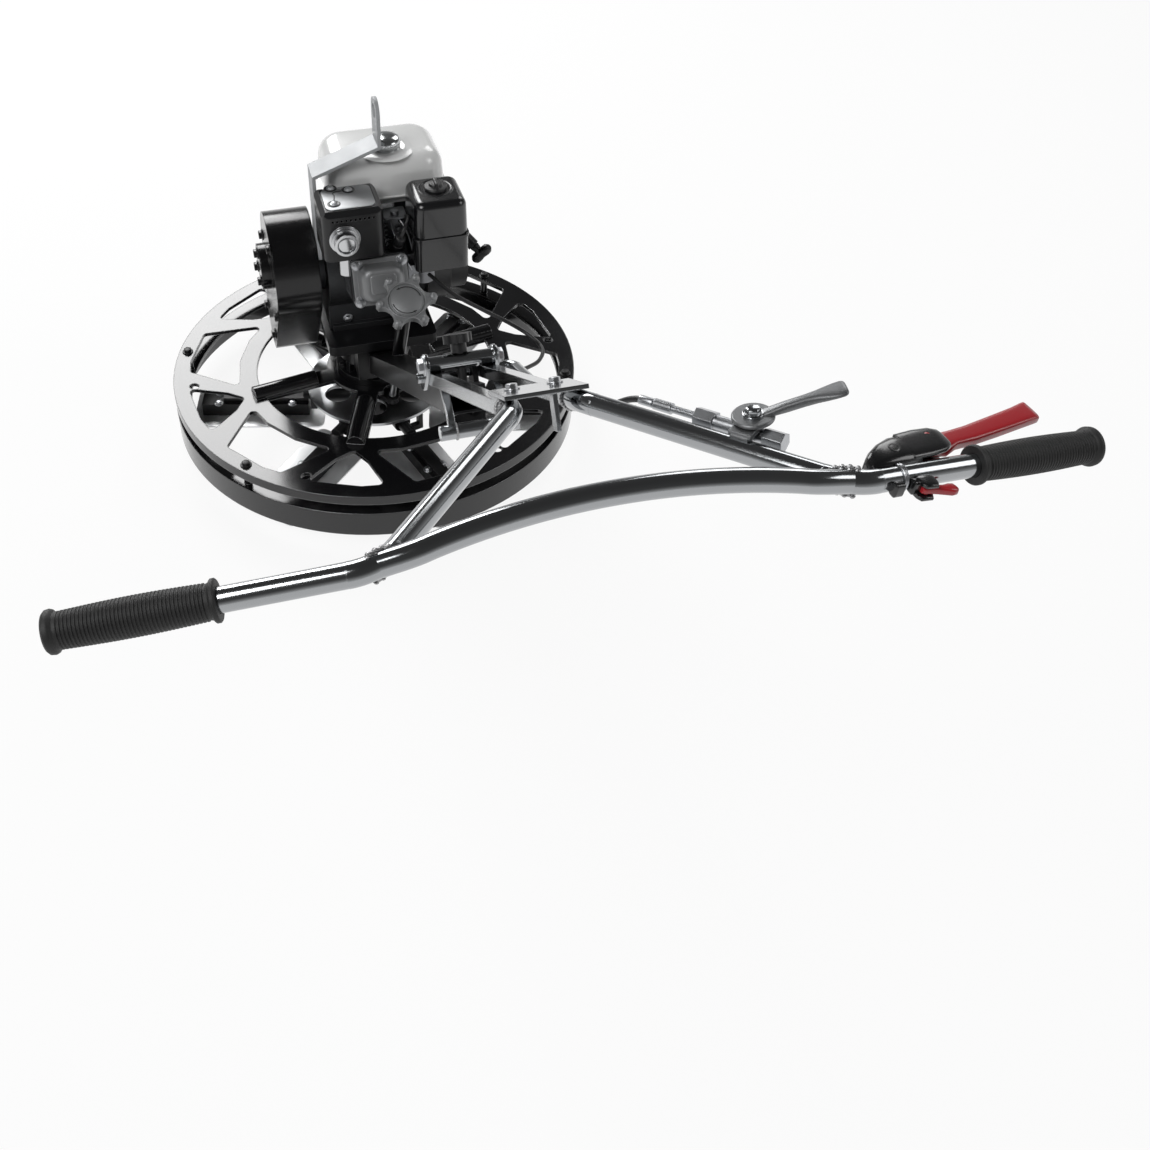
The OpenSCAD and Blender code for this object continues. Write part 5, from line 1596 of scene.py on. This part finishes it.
@dataclass
class StopControl:
    """Moulded stop housing on the tube with its red lever and trigger."""

    line: HandleLine
    pivot: Point = (-0.001, 0.030, 0.090)
    lever: tuple[Row, ...] = (
        (-0.0085, 0, -0.0010, 0.0030, 0.0044), (-0.0065, 0, -0.0010, 0.0046, 0.0068),
        (0.0, 0, -0.0010, 0.0050, 0.0092), (0.016, 0, -0.0020, 0.0050, 0.0112),
        (0.030, 0, 0.0016, 0.0050, 0.0086), (0.050, 0, 0.0040, 0.0050, 0.0092),
        (0.080, 0, 0.0100, 0.0049, 0.0100), (0.112, 0, 0.0168, 0.0047, 0.0106),
        (0.127, 0, 0.0204, 0.0046, 0.0114), (0.1312, 0, 0.0214, 0.0042, 0.0116),
        (0.1322, 0, 0.0216, 0.0032, 0.0106),
    )
    lever_power: float = 4.6
    lever_steps: int = 48
    # Half length, radius and edge of a pivot's pin
    lever_pin: tuple[float, float, float] = (0.0125, 0.0030, 0.0006)
    hinge: Point = (0.0, -0.018, 0.059)
    claw: tuple[Row, ...] = (
        (-0.0048, 0, 0.0004, 0.0024, 0.0024), (-0.0030, 0, 0.0003, 0.0034, 0.0036),
        (0.0030, 0, 0.0, 0.0036, 0.0038), (0.0090, 0, -0.0022, 0.0036, 0.0032),
        (0.0140, 0, -0.0036, 0.0036, 0.0038), (0.0195, 0, -0.0044, 0.0036, 0.0054),
        (0.0235, 0, -0.0046, 0.0033, 0.0050), (0.0258, 0, -0.0046, 0.0020, 0.0030),
    )
    claw_power: float = 3.0
    claw_pin: tuple[float, float, float] = (0.0070, 0.0020, 0.0004)
    shell: tuple[Row, ...] = (
        (0.0215, -0.001, 0.0118, 0.0040, 0.0030), (0.0230, -0.001, 0.0126, 0.0074, 0.0060),
        (0.0290, -0.001, 0.0148, 0.0104, 0.0098), (0.0400, -0.001, 0.0178, 0.0122, 0.0136),
        (0.0540, -0.001, 0.0208, 0.0126, 0.0162), (0.0680, -0.001, 0.0218, 0.0126, 0.0162),
        (0.0708, -0.001, 0.0218, 0.0116, 0.0150),
    )
    shell_power: float = 3.8
    cheek_x: tuple[float, float] = (-0.0104, 0.0084)
    cheek: tuple[Row, ...] = (
        (0.0620, 0, 0.0222, 0.0032, 0.0154), (0.0800, 0, 0.0238, 0.0032, 0.0160),
        (0.0960, 0, 0.0250, 0.0031, 0.0146), (0.1030, 0, 0.0252, 0.0028, 0.0112),
        (0.1050, 0, 0.0252, 0.0018, 0.0084),
    )
    cheek_power: float = 3.6
    # Start and end of each foot of the saddle under the tube
    saddles: tuple[tuple[float, float], ...] = ((0.030, 0.0395), (0.0475, 0.0555))
    saddle_round: float = 0.0012
    saddle_end: tuple[float, float, float, float] = (0.0, -0.0120, 0.0050, 0.0030)
    saddle_mid: tuple[float, float, float, float] = (0.0, -0.0125, 0.0064, 0.0042)
    ear_x: tuple[float, float] = (-0.0062, 0.0062)
    ear: tuple[Row, ...] = (
        (0.0520, 0, -0.0150, 0.0018, 0.0050), (0.0540, 0, -0.0160, 0.0022, 0.0072),
        (0.0640, 0, -0.0165, 0.0022, 0.0074), (0.0660, 0, -0.0155, 0.0018, 0.0050),
    )
    foot_power: float = 3.4
    screw_at: Point = (-0.0131, 0.0205, 0.050)
    screw: Profile = ((0.0058, -0.0012), (0.0050, 0.0004), (0.0042, 0.0004), (0.0034, -0.0008),
                      (0.0, -0.0008))
    ties: tuple[float, ...] = (0.0430, 0.0452)
    tie_out: float = 0.0006
    tie_r: float = 0.0012

    def build(self, shop: Workshop) -> None:
        """Moulds the housing, the lever and the trigger.

        Args:
            shop: The workshop.
        """
        frame = self.line.grip_frame
        self.housing(shop, frame)
        lever = Blank()
        pivot = frame @ Matrix.Translation(self.pivot)
        lever.loft(self.lever, pivot, self.lever_power, self.lever_steps)
        self.cross_pin(lever, pivot, *self.lever_pin)
        shop.place(lever, "stop_lever_moulding", RED, "stop_lever", ("stop_lever",), sharp=40)
        claw = Blank()
        hinge = frame @ Matrix.Translation(self.hinge)
        claw.loft(self.claw, hinge, self.claw_power)
        self.cross_pin(claw, hinge, *self.claw_pin)
        shop.place(claw, "stop_trigger_claw", RED, "stop_trigger", ("stop_trigger",), sharp=40)

    @staticmethod
    def cross_pin(blank: Blank, where: Matrix, half: float, radius: float, edge: float) -> None:
        """Puts a pin through a pivot.

        Args:
            blank: The mesh under way.
            where: Frame of the pivot.
            half: Half of the pin's length.
            radius: Its radius.
            edge: Round of its ends.
        """
        blank.rod(where @ Vector((-half, 0, 0)), where @ Vector((half, 0, 0)), radius, edge=edge)

    def housing(self, shop: Workshop, frame: Matrix) -> None:
        """Moulds the housing in two cheeks beside the lever's slot, on a saddle over the tube.

        Args:
            shop: The workshop.
            frame: Frame of the grip section.
        """
        shell = Blank()
        shell.loft(self.shell, frame, self.shell_power)
        for x in self.cheek_x:
            shell.loft([(height, x, y, *half) for height, _, y, *half in self.cheek], frame, self.cheek_power)
        for start, end in self.saddles:
            rows = ((start, *self.saddle_end), (start + self.saddle_round, *self.saddle_mid),
                    (end - self.saddle_round, *self.saddle_mid), (end, *self.saddle_end))
            shell.loft(rows, frame, self.foot_power)
        for x in self.ear_x:
            shell.loft([(height, x, y, *half) for height, _, y, *half in self.ear], frame, self.foot_power)
        top = frame @ Matrix.Translation(self.screw_at) @ Matrix.Rotation(-math.pi / 2, 4, "Y")
        shell.lathe(self.screw, top, steps=32)
        shop.place(shell, "stop_housing_moulding", GLOSSY, "handle", ("stop_housing",), sharp=40)
        tie = Blank()
        for along in self.ties:
            spot = frame @ Vector((0, 0, along))
            tie.ring(spot, heading(frame), self.line.tube_r + self.tie_out, self.tie_r)
        shop.place(tie, "stop_housing_tie", ZINC, "handle", sharp=60)


@dataclass
class Grips:
    """Ribbed rubber grips, fuller in the middle."""

    line: HandleLine
    length: float = 0.128
    overhang: float = 0.004
    body: float = 0.0142
    swell: float = 0.0013
    groove: float = 0.0008
    ribs: int = 38
    rib_from: float = 0.0075
    ribbed: float = 0.110
    # Height of a groove's end, a rib's start and a rib's end, in shares of a rib's step
    rib_shares: tuple[float, float, float] = (0.35, 0.50, 0.90)
    flange: Profile = ((0.0102, 0.0), (0.0156, 0.0), (0.0166, 0.001), (0.0166, 0.0034), (0.0156, 0.0044),
                       (0.0142, 0.0052))
    # Radius and distance from the outer end
    knob: Profile = ((0.0142, 0.0090), (0.0162, 0.0075), (0.0170, 0.0055), (0.0166, 0.0025), (0.0150, 0.0008),
                     (0.0122, 0.0), (0.0045, 0.0), (0.0038, 0.0012), (0.0, 0.0012))

    def build(self, shop: Workshop) -> None:
        """Moulds both grips in the space of their solids.

        Args:
            shop: The workshop.
        """
        for side, node in ((1, "grip_right"), (-1, "grip_left")):
            mirror = Matrix.Diagonal((side, 1.0, 1.0))
            along = mirror @ Vector(self.line.grip)
            root = mirror @ self.line.bend + along.normalized() * (along.length - self.length + self.overhang)
            grip = Blank()
            grip.lathe(self.outline(), stand(root, along), steps=64)
            shop.place(grip, f"{node}_rubber", GRIP, "handle", (node,), sharp=34)

    def outline(self) -> list[tuple[float, float]]:
        """Draws the grip's outline.

        Returns:
            Radius and height of each point from the inner end to the outer.
        """
        points = list(self.flange)
        step = self.ribbed / self.ribs
        groove_end, rib_start, rib_end = (share * step for share in self.rib_shares)
        for k in range(self.ribs):
            full = self.body + self.swell * math.sin(math.pi * (k + 0.5) / self.ribs)
            foot = self.rib_from + k * step
            points += [(full - self.groove, foot), (full - self.groove, foot + groove_end)]
            points += [(full, foot + rib_start), (full, foot + rib_end)]
        return points + [(radius, self.length - drop) for radius, drop in self.knob]


@dataclass
class ThrottleCable:
    """The throttle cable along its route, with a sleeve at the adjuster."""

    line: HandleLine
    radius: float = 0.003
    route: tuple[Point, ...] = (
        (0.066, -0.122, 0.341), (0.100, -0.146, 0.314), (0.140, -0.158, 0.288), (0.180, -0.170, 0.264),
        (0.206, -0.190, 0.250), (0.216, -0.215, 0.245), (0.206, -0.242, 0.247), (0.182, -0.268, 0.256),
        (0.150, -0.298, 0.276), (0.124, -0.330, 0.302), (0.100, -0.380, 0.340), (0.084, -0.440, 0.384),
        (0.074, -0.505, 0.432), (0.066, -0.570, 0.480), (0.056, -0.618, 0.513), (0.050, -0.680, 0.553),
        (0.050, -0.760, 0.606), (0.052, -0.840, 0.661), (0.062, -0.905, 0.706),
    )
    # Points of the route that bound its span from the frame to the handle
    fold_from: int = 12
    fold_to: int = 15
    end: float = 0.0618
    sleeve_l: float = 0.014
    sleeve_wall: float = 0.0012
    sleeve_edge: float = 0.0006

    def build(self, shop: Workshop) -> None:
        """Runs the cable from the carburettor to the adjuster.

        Args:
            shop: The workshop.
        """
        near = self.line.on_barrel(self.end - self.sleeve_l)
        end = self.line.on_barrel(self.end)
        sheath = Blank()
        sheath.tube((*self.route, near, end), self.radius, steps=10)
        span = Span("frame", "handle", self.route[self.fold_from], self.route[self.fold_to])
        shop.place(sheath, "throttle_cable_sheath", CABLE, span, ("throttle_cable",), sharp=60)
        sleeve = Blank()
        sleeve.rod(near, end, self.radius + self.sleeve_wall, edge=self.sleeve_edge)
        shop.place(sleeve, "cable_sleeve", ZINC, "handle")


@dataclass(frozen=True)
class Lamp:
    """A soft square lamp."""

    name: str
    at: Point
    side: float
    watts: float

    def hang(self, aim: Point) -> None:
        """Hangs the lamp.

        Args:
            aim: Where it looks.
        """
        data = bpy.data.lights.new(self.name, "AREA")
        data.shape = "SQUARE"
        data.size = self.side
        data.energy = self.watts
        lamp = bpy.data.objects.new(self.name, data)
        look = (Vector(aim) - Vector(self.at)).to_track_quat("-Z", "Y")
        lamp.matrix_world = Matrix.Translation(Vector(self.at)) @ look.to_matrix().to_4x4()
        bpy.context.scene.collection.objects.link(lamp)


@dataclass
class Studio:
    """White floor, soft light and the camera of the photograph."""

    eye: Point = (-0.2944, -1.8141, 1.4851)
    yaw: float = 14.6
    pitch: float = 41.9
    roll: float = 0.3
    lens: float = 43.80
    sensor: float = 36.0
    shift: tuple[float, float] = (0.0828, -0.0826)
    sight: float = 60.0
    lamps: tuple[Lamp, ...] = (
        Lamp("key_light", (-1.7, -1.6, 2.9), 1.5, 50.0),
        Lamp("fill_light", (2.3, -1.3, 2.1), 1.2, 14.0),
        Lamp("back_light", (1.9, 2.0, 2.2), 1.3, 20.0),
        Lamp("window_light", (-0.55, 2.5, 2.2), 1.6, 80.0),
    )
    aim: Point = (0.0, -0.35, 0.35)
    # Height and grey of the walls, from the floor to the ceiling
    walls: tuple[tuple[float, float], ...] = ((0.0, 0.55), (0.16, 0.30), (0.42, 0.09), (1.0, 0.06))
    floor_half: float = 9.0
    floor_z: float = -0.0005
    floor_tint: Colour = (0.86, 0.86, 0.86)
    floor_roughness: float = 0.9
    floor_glow: float = 0.90

    def build(self) -> None:
        """Sets the camera, the lamps, the world and the floor."""
        self.camera()
        for lamp in self.lamps:
            lamp.hang(self.aim)
        self.world()
        self.floor()
        bpy.context.scene.view_settings.view_transform = "Standard"

    def camera(self) -> None:
        """Stands the camera where the photograph was taken."""
        a, e, r = (math.radians(angle) for angle in (self.yaw, self.pitch, self.roll))
        ahead = Vector((math.sin(a) * math.cos(e), math.cos(a) * math.cos(e), -math.sin(e)))
        level = Vector((math.cos(a), -math.sin(a), 0.0))
        right = math.cos(r) * level + math.sin(r) * level.cross(ahead)
        data = bpy.data.cameras.new("camera")
        data.sensor_width = self.sensor
        data.lens = self.lens
        data.shift_x, data.shift_y = self.shift
        data.clip_end = self.sight
        camera = bpy.data.objects.new("camera", data)
        place = Matrix((right, right.cross(ahead), -ahead)).transposed().to_4x4()
        place.translation = Vector(self.eye)
        camera.matrix_world = place
        bpy.context.scene.collection.objects.link(camera)
        bpy.context.scene.camera = camera

    def world(self) -> None:
        """Gives a grey wall all round and a dark ceiling."""
        world = bpy.data.worlds.new("studio")
        world.use_nodes = True
        graph = Graph(world.node_tree)
        around = graph.node("ShaderNodeTexCoord", output="Generated")
        height = graph.node("ShaderNodeSeparateXYZ", {}, {0: around}, "Z")
        grey = graph.node("ShaderNodeValToRGB", {"stops": self.walls}, {0: height})
        graph.feed(graph.tree.nodes["Background"].inputs["Color"], grey)
        bpy.context.scene.world = world

    def floor(self) -> None:
        """Lays a white floor that keeps the machine's shadow."""
        shape = bmesh.new()
        bmesh.ops.create_grid(shape, x_segments=1, y_segments=1, size=self.floor_half,
                              matrix=Matrix.Translation((0, 0, self.floor_z)))
        mesh = bpy.data.meshes.new("studio_floor")
        shape.to_mesh(mesh)
        shape.free()
        floor = bpy.data.objects.new("studio_floor", mesh)
        bpy.context.scene.collection.objects.link(floor)
        shader = Shader("studio_floor_white")
        rays = ("Is Camera Ray", "Is Glossy Ray", "Is Transmission Ray")
        camera, glossy, through = (shader.node("ShaderNodeLightPath", output=ray) for ray in rays)
        seen = (camera + glossy + through).clamped()
        shader.set(Base_Color=self.floor_tint, Roughness=self.floor_roughness, Specular_IOR_Level=0.0)
        glow = shader.node("ShaderNodeEmission", {}, {"Color": (1.0, 1.0, 1.0), "Strength": 1.0})
        lit = Value(shader.tree, shader.surface.outputs[0])
        mixed = shader.node("ShaderNodeMixShader", {}, {0: seen * self.floor_glow, 1: lit, 2: glow})
        shader.feed(shader.tree.nodes["Material Output"].inputs["Surface"], mixed)
        mesh.materials.append(shader.material)
        floor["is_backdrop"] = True


def main() -> None:
    """Builds the studio and every piece, in order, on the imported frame."""
    logging.basicConfig(level=logging.INFO, format="%(message)s")
    shop = Workshop()
    Studio().build()
    line = HandleLine()
    ThrottleCable(line).build(shop)
    shop.dress_frame({"carburettor": CARB, "lifting_bracket": PALE, "air_cleaner_base": GLOSSY})
    for assembly in (GuardRing(), BladeBolts(), FuelTank(), FuelCap(), AirCleaner(), Cylinder(), Governor(),
                     MufflerTop(), BeltGuardTrim(), StarterGrip(), StarKnob(), CrossBar(line),
                     HandleTrim(line), ThrottleControl(line), StopControl(line), Grips(line)):
        assembly.build(shop)


if __name__ == "__main__":
    main()
